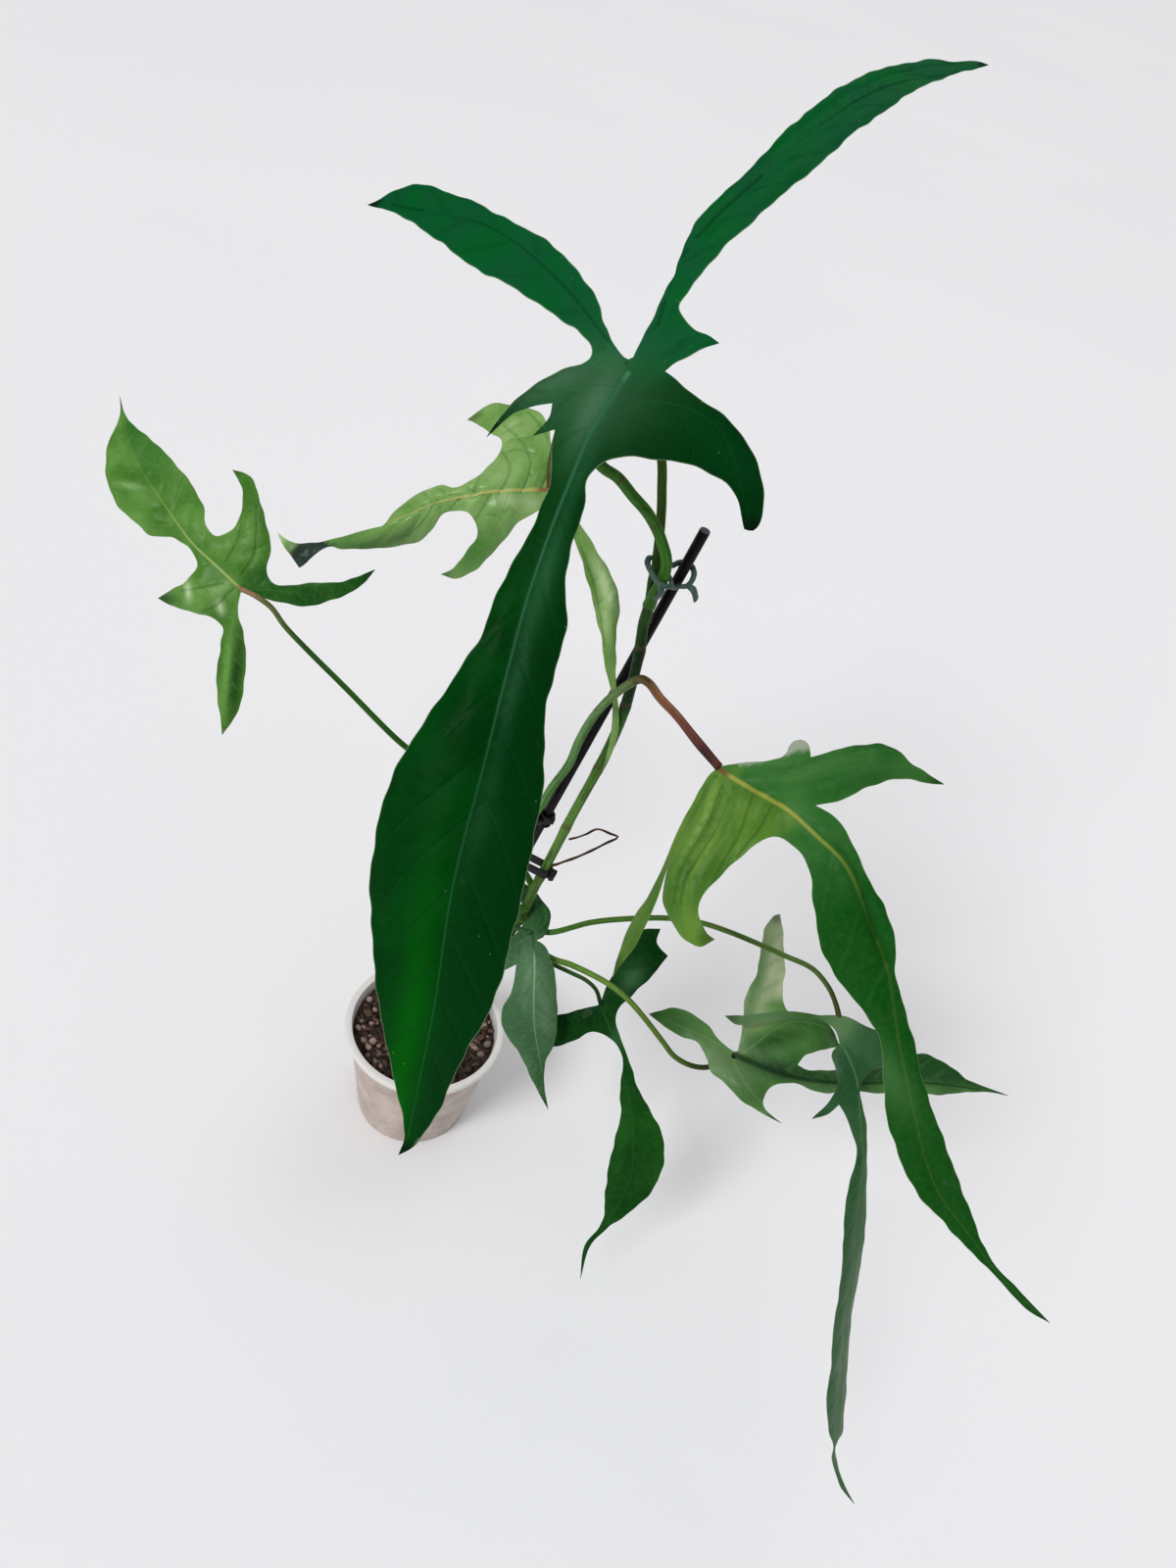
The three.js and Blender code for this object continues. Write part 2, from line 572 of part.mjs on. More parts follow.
// Leaf g: dark, hanging down in front of the pot's right side
const LEAF_G = {
  pins: [
    [0, 0, 118, -25, 206], [-5, 15, 127, -35, 197], [-13, 43, 144, -49, 178],
    [-24, 86, 162, -68, 143], [-25, 132, 171, -88, 102], [-12, 168, 164, -104, 68],
    [0, 210, 160, -128, 32], [-19, -27, 128, 0, 225], [-43, -52, 144, 26, 241],
    [-48, -33, 154, 13, 231], [16, 12, 107, -34, 192], [43, 19, 84, -36, 175],
    [-9, 109, 151, -82, 121], [-47, 106, 188, -75, 129],
  ],
  outline: {
    backLobeLeft: [[1, -1], [-4, -12], [-19, -37], [-31, -51], [-43, -52]],
    backLobeEnd: [[-40, -42], [-48, -33]],
    tongueRight: [
      [-36, -19], [-22, -7], [-12, 3], [-11, 13], [-15, 29], [-23, 54], [-44, 88], [-49, 107],
      [-45, 131], [-30, 154], [-15, 170], [-5, 183], [0, 210],
    ],
    tongueLeft: [
      [-1, 183], [-11, 166], [-11, 137], [-13, 100], [-15, 78], [-12, 54], [-13, 35], [-7, 23],
      [5, 17], [18, 23], [35, 30], [48, 26],
    ],
    sideLobe: [[38, 11], [22, 4], [9, 1], [3, 0]],
  },
  ribs: {
    midrib: [[0, 0], [-8, 22], [-14, 50], [-25, 86], [-27, 127], [-14, 167], [-1, 204]],
    back: [[-1, -3], [-19, -27], [-41, -47]],
    side: [[2, 2], [20, 12], [44, 24]],
  },
  groove: 1.2,
  wave: { height: 0.8, length: 66, lag: 2, reach: 24 },
};

// Leaf h: short and grey-green, beside the pot's rim
const LEAF_H = {
  pins: [
    [0, 0, 59, -12, 243], [-2, 21, 66, -29, 233], [1, 47, 74, -47, 215], [3, 72, 81, -58, 193],
    [0, 125, 103, -78, 149], [23, 56, 57, -53, 199], [-16, 55, 90, -41, 209],
    [-10, -15, 66, 6, 249], [10, -33, 43, 20, 251], [34, 20, 38, -23, 212], [16, 78, 71, -61, 183],
    [-5, 84, 93, -60, 185],
  ],
  outline: {
    hookedLobeOuter: [[-9, 3], [-12, -4], [-11, -12], [-3, -23], [5, -31], [14, -37]],
    hookedLobeEnd: [[19, -32]],
    sideLobeUpper: [[10, -23], [1, -15], [1, -6], [5, -1], [14, 2], [27, 9], [40, 23]],
    sideLobeLower: [[26, 24], [12, 20]],
    tongueLeft: [[15, 30], [24, 50], [24, 65], [18, 77], [11, 97], [6, 111], [0, 125]],
    tongueRight: [[1, 106], [-2, 89], [-13, 71], [-17, 50], [-15, 20], [-10, 9], [-4, 5]],
  },
  ribs: {
    midrib: [[-1, 0], [-3, 21], [1, 46], [2, 72], [1, 120]],
    hooked: [[-2, 0], [-9, -8], [-1, -25], [13, -33]],
    side: [[1, 2], [17, 10], [36, 21]],
  },
  groove: 1.2,
  wave: { height: 0.8, length: 44, lag: 2, reach: 20 },
};

// Routes of the main stem, the leaf stalks and the aerial root, from the pot upwards
const STEM_ROUTE = [
  [15, -4, 58], [14, -4, 92], [20, 3, 143], [31, 1, 180], [42, 0, 214], [50, 1, 243], [53, 3, 270],
  [56, 4, 288], [60, 5, 313], [64, 7, 338], [72, 7, 385], [76, 3, 424], [76, 0, 457], [75, -1, 477],
  [73, -1, 493], [73, -2, 503], [73, -2, 509],
];

const STALKS = {
  a: {
    radius: [3.1, 2.6], colour: GREEN_MID,
    route: [
      [73, -2, 506], [74, -4, 516], [76, -5, 526], [75, -4, 536], [70, -3, 545], [66, -3, 551],
      [59, -4, 559], [50, -5, 566], [41, -7, 574], [32, -10, 579], [22, -10, 589], [18, -7, 601],
      [21, -4, 613], [28, -5, 623], [34, -8, 629],
    ],
  },
  b: {
    radius: [2.6, 2.2], colour: GREEN_DEEP,
    route: [
      [74, 1, 494], [73, 4, 503], [72, 4, 511], [71, 3, 519], [71, 3, 526], [70, 4, 532],
      [69, 6, 538], [67, 9, 548], [65, 11, 557], [63, 13, 564], [59, 19, 576], [52, 26, 587],
      [42, 33, 595],
      [28, 37, 597], [14, 39, 589], [5, 38, 576], [3, 36, 560], [4, 32, 548], [6, 29, 540],
    ],
  },
  c: {
    radius: [2.2, 1.6], colour: GREEN_MID,
    route: [
      [53, 3, 268], [46, 12, 269], [34, 17, 278], [14, 20, 297], [-10, 25, 311], [-33, 29, 325],
      [-57, 32, 336], [-100, 43, 359], [-127, 51, 372], [-145, 58, 380], [-157, 65, 386],
      [-168, 68, 389], [-180, 71, 389],
    ],
  },
  d: {
    radius: [2.9, 2.3], colour: RED_BROWN,
    route: [
      [51, 1, 252], [44, -7, 252], [35, -9, 258], [28, -8, 270], [27, -6, 291], [33, -5, 314],
      [38, -3, 330], [44, 0, 346], [47, -1, 361], [54, -1, 385], [56, -3, 405], [59, -4, 421],
      [63, -7, 436], [68, -11, 450], [74, -13, 461], [80, -17, 470], [85, -22, 472], [92, -30, 471],
      [103, -40, 470], [116, -52, 467], [130, -64, 464],
    ],
  },
  e: {
    radius: [2.2, 1.6], colour: GREEN_MID,
    route: [
      [45, -3, 221], [60, -8, 226], [78, -15, 227], [90, -18, 230], [116, -26, 232],
      [131, -32, 230], [142, -39, 228], [161, -54, 224], [170, -61, 222], [180, -66, 224],
      [189, -68, 228], [198, -67, 235], [205, -64, 243],
    ],
  },
  f: {
    radius: [2, 1.5], colour: GREEN_MID,
    route: [
      [49, -1, 240], [59, -3, 240], [69, -5, 240], [95, -3, 259], [113, -3, 270], [143, -7, 288],
      [163, -10, 295], [182, -16, 300], [200, -23, 304], [215, -29, 307], [232, -36, 310],
      [243, -46, 310], [249, -54, 306], [254, -62, 300], [257, -70, 294],
    ],
  },
  g: {
    radius: [1.7, 1.3], colour: GREEN_MID,
    route: [
      [44, -2, 214], [61, -6, 215], [82, -10, 215], [92, -12, 215], [104, -15, 215],
      [112, -19, 213], [118, -25, 206],
    ],
  },
  h: { radius: [1.7, 1.4], colour: GREEN_GREY, route: [[47, -3, 233], [53, -8, 239], [59, -12, 243]] },
};

const ROOT_ROUTE = [
  [57, 4, 292], [62, 4, 295], [67, 6, 298], [74, 9, 302], [84, 13, 310], [90, 16, 315],
  [96, 19, 320], [91, 21, 319], [82, 24, 317], [76, 23, 311], [71, 22, 307], [66, 21, 304],
];

// Pot and what fills it

const wallAt = (z) => POT.foot + ((POT.shoulder - POT.foot) * z) / POT.height;

function pot() {
  const under = POT.height - RIM.flange;
  const profile = [
    [0, 0],
    [POT.foot - 1.2, 0],
    [POT.foot, 1.2],
    [wallAt(under), under],
    [POT.rim - 1.4, under],
    [POT.rim - 1.4, POT.height - RIM.lip],
    [POT.rim - 0.2, POT.height - RIM.lip],
    [POT.rim, POT.height - RIM.round],
    [POT.rim - RIM.round, POT.height],
    [POT.mouth + RIM.round, POT.height],
    [POT.mouth, POT.height - RIM.round],
    [POT.foot - POT.wall, POT.floor],
    [0, POT.floor],
  ];
  const body = new THREE.LatheGeometry(profile.map((p) => new THREE.Vector2(...p)), POT_SIDES);
  body.rotateX(Math.PI / 2);
  const holes = [];
  for (let i = 0; i < DRAIN.holes; i++) {
    const hole = new THREE.CylinderGeometry(DRAIN.radius, DRAIN.radius, 3 * POT.floor, 12);
    hole.rotateX(Math.PI / 2);
    const angle = (2 * Math.PI * (i + 0.5)) / DRAIN.holes;
    hole.translate(DRAIN.circle * Math.cos(angle), DRAIN.circle * Math.sin(angle), POT.floor / 2);
    holes.push(hole);
  }
  return cut(body, ...holes);
}

// The mix follows the pot's inside, and its top is lumpy.
function mix() {
  const base = POT.floor + FIT;
  const reach = (z) =>
    POT.foot - POT.wall - FIT + ((POT.mouth - POT.foot + POT.wall) * (z - base)) / POT.height;
  const lump = (x, y) => MIX.bump * (Math.sin(x * 0.43 + 1) * Math.cos(y * 0.37) + Math.sin(x * y * 0.02));
  const position = [0, 0, MIX.top + lump(0, 0)];
  const rings = [];
  for (let i = 1; i <= MIX.rings; i++) rings.push([(reach(MIX.top) * i) / MIX.rings, MIX.top, 1]);
  rings.push([reach(base), base, 0]);
  for (const [radius, z, lumpy] of rings) {
    for (let j = 0; j < POT_SIDES; j++) {
      const angle = (2 * Math.PI * j) / POT_SIDES;
      const [x, y] = [radius * Math.cos(angle), radius * Math.sin(angle)];
      position.push(x, y, z + lumpy * lump(x, y));
    }
  }
  const corner = (i, j) => 1 + i * POT_SIDES + (j % POT_SIDES);
  const index = [];
  for (let j = 0; j < POT_SIDES; j++) {
    index.push(0, corner(0, j), corner(0, j + 1));
    for (let i = 0; i < rings.length - 1; i++) {
      index.push(corner(i, j), corner(i + 1, j), corner(i + 1, j + 1));
      index.push(corner(i, j), corner(i + 1, j + 1), corner(i, j + 1));
    }
    if (j > 0) index.push(corner(MIX.rings, 0), corner(MIX.rings, j + 1), corner(MIX.rings, j));
  }
  const geometry = new THREE.BufferGeometry();
  geometry.setAttribute("position", new THREE.Float32BufferAttribute(position, 3));
  geometry.setIndex(index.slice(0, index.length - 3));
  return cut(geometry, stemRoom, stakeRoom);
}

// Stem, stalks and blades

// The stem swells a little at each joint where a stalk leaves it.
const NODES = [0.3, 0.36, 0.42, 0.5, 0.6, 0.72, 0.84, 0.93];
function stemSize(t) {
  const swell = Math.max(...NODES.map((n) => Math.exp(-(((t - n) / 0.012) ** 2))));
  return STEM_RADIUS - 0.4 + 0.4 * swell;
}

const plant = new THREE.Group();

function place(name, geometry, colour, roughness = 0.5) {
  const material = new THREE.MeshStandardMaterial({ color: colour, roughness, metalness: 0 });
  const mesh = new THREE.Mesh(geometry, material);
  mesh.name = name;
  plant.add(mesh);
}

const stakeLine = [STAKE.foot, STAKE.top];
const stemRoom = room(STEM_ROUTE, stemSize, 10, 8);
const stakeRoom = room(stakeLine, STAKE.radius, STAKE.sides, 600);

place("nursery_pot", pot(), POT_WHITE, 0.45);
place("potting_mix", mix(), BARK, 0.95);
place("stake", rod(stakeLine, STAKE.radius, STAKE.sides, 600), BLACK, 0.3);
place("main_stem", rod(STEM_ROUTE, stemSize, 10, 8), GREEN_MID, 0.45);

const LEAVES = {
  a: [LEAF_A, GREEN_DEEP],
  b: [LEAF_B, GREEN_LIGHT],
  c: [LEAF_C, GREEN_MID],
  d: [LEAF_D, GREEN_MID],
  e: [LEAF_E, GREEN_MID],
  f: [LEAF_F, GREEN_GREY],
  g: [LEAF_G, GREEN_DEEP],
  h: [LEAF_H, GREEN_GREY],
};

for (const [letter, [leaf, colour]] of Object.entries(LEAVES)) {
  const make = blade(leaf);
  place(`blade_${letter}`, make(0), colour, 0.4);
  const { radius, colour: stalkColour, route } = STALKS[letter];
  const [start, end] = radius;
  const stalk = rod(route, (t) => start + (end - start) * t, 8, 9);
  const seated = cut(stalk, stemRoom, make(FIT));
  place(`stalk_${letter}`, seated, stalkColour, 0.45);
}

place("aerial_root", cut(rod(ROOT_ROUTE, 0.9, 6, 6), stemRoom), BARK, 0.8);

// Ties

// Turns a shape drawn upright at the origin to lie along the stake at a height.
function alongStake(geometry, height) {
  const [foot, top] = stakeLine.map(vec);
  const axis = top.clone().sub(foot);
  const centre = foot.addScaledVector(axis, (height - STAKE.foot[2]) / axis.z);
  geometry.applyQuaternion(
    new THREE.Quaternion().setFromUnitVectors(new THREE.Vector3(0, 0, 1), axis.normalize()),
  );
  return geometry.translate(...centre.toArray());
}

// The soft green tie: a ring round stalks a and b, and from it a hook round the stake
function topTie() {
  const ring = [
    [66, 1, 529], [69, -5, 528], [74, -10, 526], [79, -10, 525], [81, -5, 524], [78, 2, 525],
    [73, 7, 527], [67, 7, 529],
  ];
  const hook = [
    [79, -9, 525], [82, -3, 521], [85, 5, 518], [89, 6, 519], [91, 9, 521], [91, 13, 524],
    [88, 16, 526], [83, 16, 526], [79, 12, 525],
  ];
  const tails = [
    [[75, -10, 526], [77, -11, 521], [75, -12, 517]],
    [[89, 7, 519], [93, 6, 518], [96, 6, 513]],
  ];
  const tie = [rod(ring, TIE_RADIUS, 6, 4, true), rod(hook, TIE_RADIUS, 6, 4)];
  for (const tail of tails) tie.push(rod(tail, (t) => TIE_RADIUS * (1 + 0.4 * t), 6, 4));
  return join(...tie);
}

// The clip sits on the stake, and its jaw lies against the stalk of leaf d.
function clip() {
  const collar = new THREE.CylinderGeometry(CLIP.radius, CLIP.radius, CLIP.length, 12);
  collar.rotateX(Math.PI / 2);
  const jaw = new THREE.BoxGeometry(CLIP.jaw, 9, CLIP.jaw);
  jaw.translate(-3, -4, 0);
  const stalkRoom = room(STALKS.d.route, STALKS.d.radius[0], 8, 9);
  return cut(alongStake(join(collar, jaw), CLIP.height), stakeRoom, stalkRoom);
}

// The black band runs round both the stake and the stem.
function lowerTie() {
  const ring = (radius) => {
    const shape = new THREE.Shape();
    shape.absarc(0, 0, radius, Math.PI / 2, (3 * Math.PI) / 2);
    shape.absarc(BAND.apart, 0, radius, -Math.PI / 2, Math.PI / 2);
    return shape;
  };
  const inner = STEM_RADIUS + 2 * FIT;
  const outer = ring(inner + BAND.thick);
  outer.holes.push(new THREE.Path(ring(inner).getPoints(8)));
  const options = { depth: BAND.width, bevelEnabled: false, curveSegments: 8 };
  const loop = new THREE.ExtrudeGeometry(outer, options);
  loop.translate(0, 0, -BAND.width / 2);
  const head = new THREE.BoxGeometry(4, 4.5, BAND.width + 1.5);
  head.translate(BAND.apart + inner + 2, -1, 0);
  const band = join(loop, head).rotateZ(BAND.turn);
  return cut(alongStake(band, BAND.height), stakeRoom, stemRoom);
}

place("top_tie", topTie(), TIE_GREEN, 0.5);
place("stake_clip", clip(), BLACK, 0.35);
place("lower_tie", lowerTie(), BLACK, 0.45);

export default plant;
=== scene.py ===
# A climbing philodendron with eight lobed leaves, tied to a stake in a nursery pot.
# Sizes are millimetres in the CAD model's own frame, +Z up, until a mesh is made in metres.
import math
import random

import bpy
import numpy as np
from mathutils import Matrix, Vector
from mathutils.geometry import delaunay_2d_cdt


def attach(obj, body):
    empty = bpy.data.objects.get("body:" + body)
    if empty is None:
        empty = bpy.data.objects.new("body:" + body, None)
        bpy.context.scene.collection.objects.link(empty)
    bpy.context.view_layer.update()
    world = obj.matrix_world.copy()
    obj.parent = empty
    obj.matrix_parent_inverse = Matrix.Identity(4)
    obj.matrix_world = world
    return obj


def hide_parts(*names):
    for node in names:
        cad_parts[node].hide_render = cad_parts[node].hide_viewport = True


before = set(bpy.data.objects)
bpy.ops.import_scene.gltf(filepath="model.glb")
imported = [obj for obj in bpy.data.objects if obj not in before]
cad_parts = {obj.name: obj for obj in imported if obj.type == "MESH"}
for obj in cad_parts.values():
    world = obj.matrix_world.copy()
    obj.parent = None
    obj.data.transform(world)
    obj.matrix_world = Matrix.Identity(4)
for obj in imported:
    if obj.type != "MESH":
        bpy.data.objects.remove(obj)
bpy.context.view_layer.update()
chance = random.Random(11)

# Sizes
MM = 0.001
POT = {"rim": 60, "mouth": 54.6, "shoulder": 56.2, "foot": 43, "height": 97, "wall": 1.4, "floor": 1.6}
RIM = {"flange": 2, "lip": 5, "step": 0.8}
ROUND = 96  # sides of the pot and of the mix
DRAIN = {"holes": 8, "radius": 4, "circle": 30, "sides": 20, "spots": (12, 20)}
MIX_TOP = 89
GRAIN_COUNT = 430
GRAIN_SIZES = (1.5, 1.9, 2.3, 2.8, 3.3)
STONE_SHARE = 0.34
# A grain's length, the ranges of its width and height, and how jagged it is: bark, then stone
GRAIN_SHAPES = ((1.15, (0.55, 0.9), (0.35, 0.6), 0.2), (1, (0.75, 1), (0.6, 0.85), 0.1))
IN_THE_MIX = ((14, -4, 5.0), (0.5, -0.2, 4.5))  # stem and stake: x, y and the room they take
STAKE = {"radius": 3, "foot": (-14, -2, 11), "top": (90, 12, 550), "sides": 24, "step": 6 / 7}
STEM_RADIUS = 3
NODES = (0.3, 0.36, 0.42, 0.5, 0.6, 0.72, 0.84, 0.93)  # shares of the stem's length
# Places and widths along the stem and the stalks are shares of their length.
SWELL = {"height": 0.4, "width": 0.012}
SCAR = {"after": 0.006, "depth": 0.2, "width": 0.0025}
JOINT = {"at": 0.95, "more": 0.12, "width": 0.03}
SHEATH = {"more": 0.16, "width": 0.03}
RING_WIDTH = 0.0035
GROOVE_WIDTH = 7
CREASE_WIDTH = 2.8
# a painted highlight: the lit side of the fold beside the midrib
LIT_STRIPE = {"off": 9, "width": 8}  # a paler stripe beside the midrib
BLADE_HALF = 0.32  # half a blade's thickness
MARGIN_HALF = 0.1  # the same at its margin
RIM_STEP = 2.4  # distance between the points of a blade's outline
RIB_STEP = 1.8  # distance between the points on its ribs
ROOM = {"rim": 1.2, "ribs": 1.3}  # what the points on the ribs keep free
ROW_GAP = 0.866  # how far apart the rows of an even net are, for points 1 apart
WOBBLE = ((0.28, 4.1, 0), (0.22, 2.3, 1), (0.3, 9, 0))  # an outline's: height, length and lag
RIPPLES = ((47, 0.9), (29, 0.6), (17, 0.3))  # length and height of its slow ripples
PROBE = 0.5  # how far apart the sheet is measured to find which way it faces
CURVE_PARTS = 16  # straight parts between two given points of a curve
CLIP = {"height": 331, "length": 9, "radius": 5, "wall": 1.6}
BAND = {"height": 291, "width": 6, "apart": 16.3, "turn": -0.08, "radius": 4.6, "tooth": 0.28}
ARC_PARTS = 24
STRAIGHT_PARTS = 20

# The camera stands where the photograph was taken from.
CAMERA_AT = (0.068, -0.535, 0.838)
CAMERA_RIGHT = Vector((0.9613, 0.1808, 0.2080))
CAMERA_UP = Vector((-0.2756, 0.6306, 0.7255))
LENS = {"length": 27, "sensor": 36}
GAMMA = 0.85

# The studio's walls at their dimmest and brightest, as most rays and as glossy rays see them,
# and the horizon that the camera sees
LIGHT = {"walls": (0.16, 0.68), "gloss": (0.02, 1.6), "horizon": 0.82, "colour": (0.98, 0.985, 1, 1)}


def rgb(hexcode):
    """A colour as it looks on a screen, in the linear numbers that a shader takes."""
    parts = [(hexcode >> shift & 255) / 255 for shift in (16, 8, 0)]
    linear = [p / 12.92 if p < 0.04045 else ((p + 0.055) / 1.055) ** 2.4 for p in parts]
    return (*linear, 1)


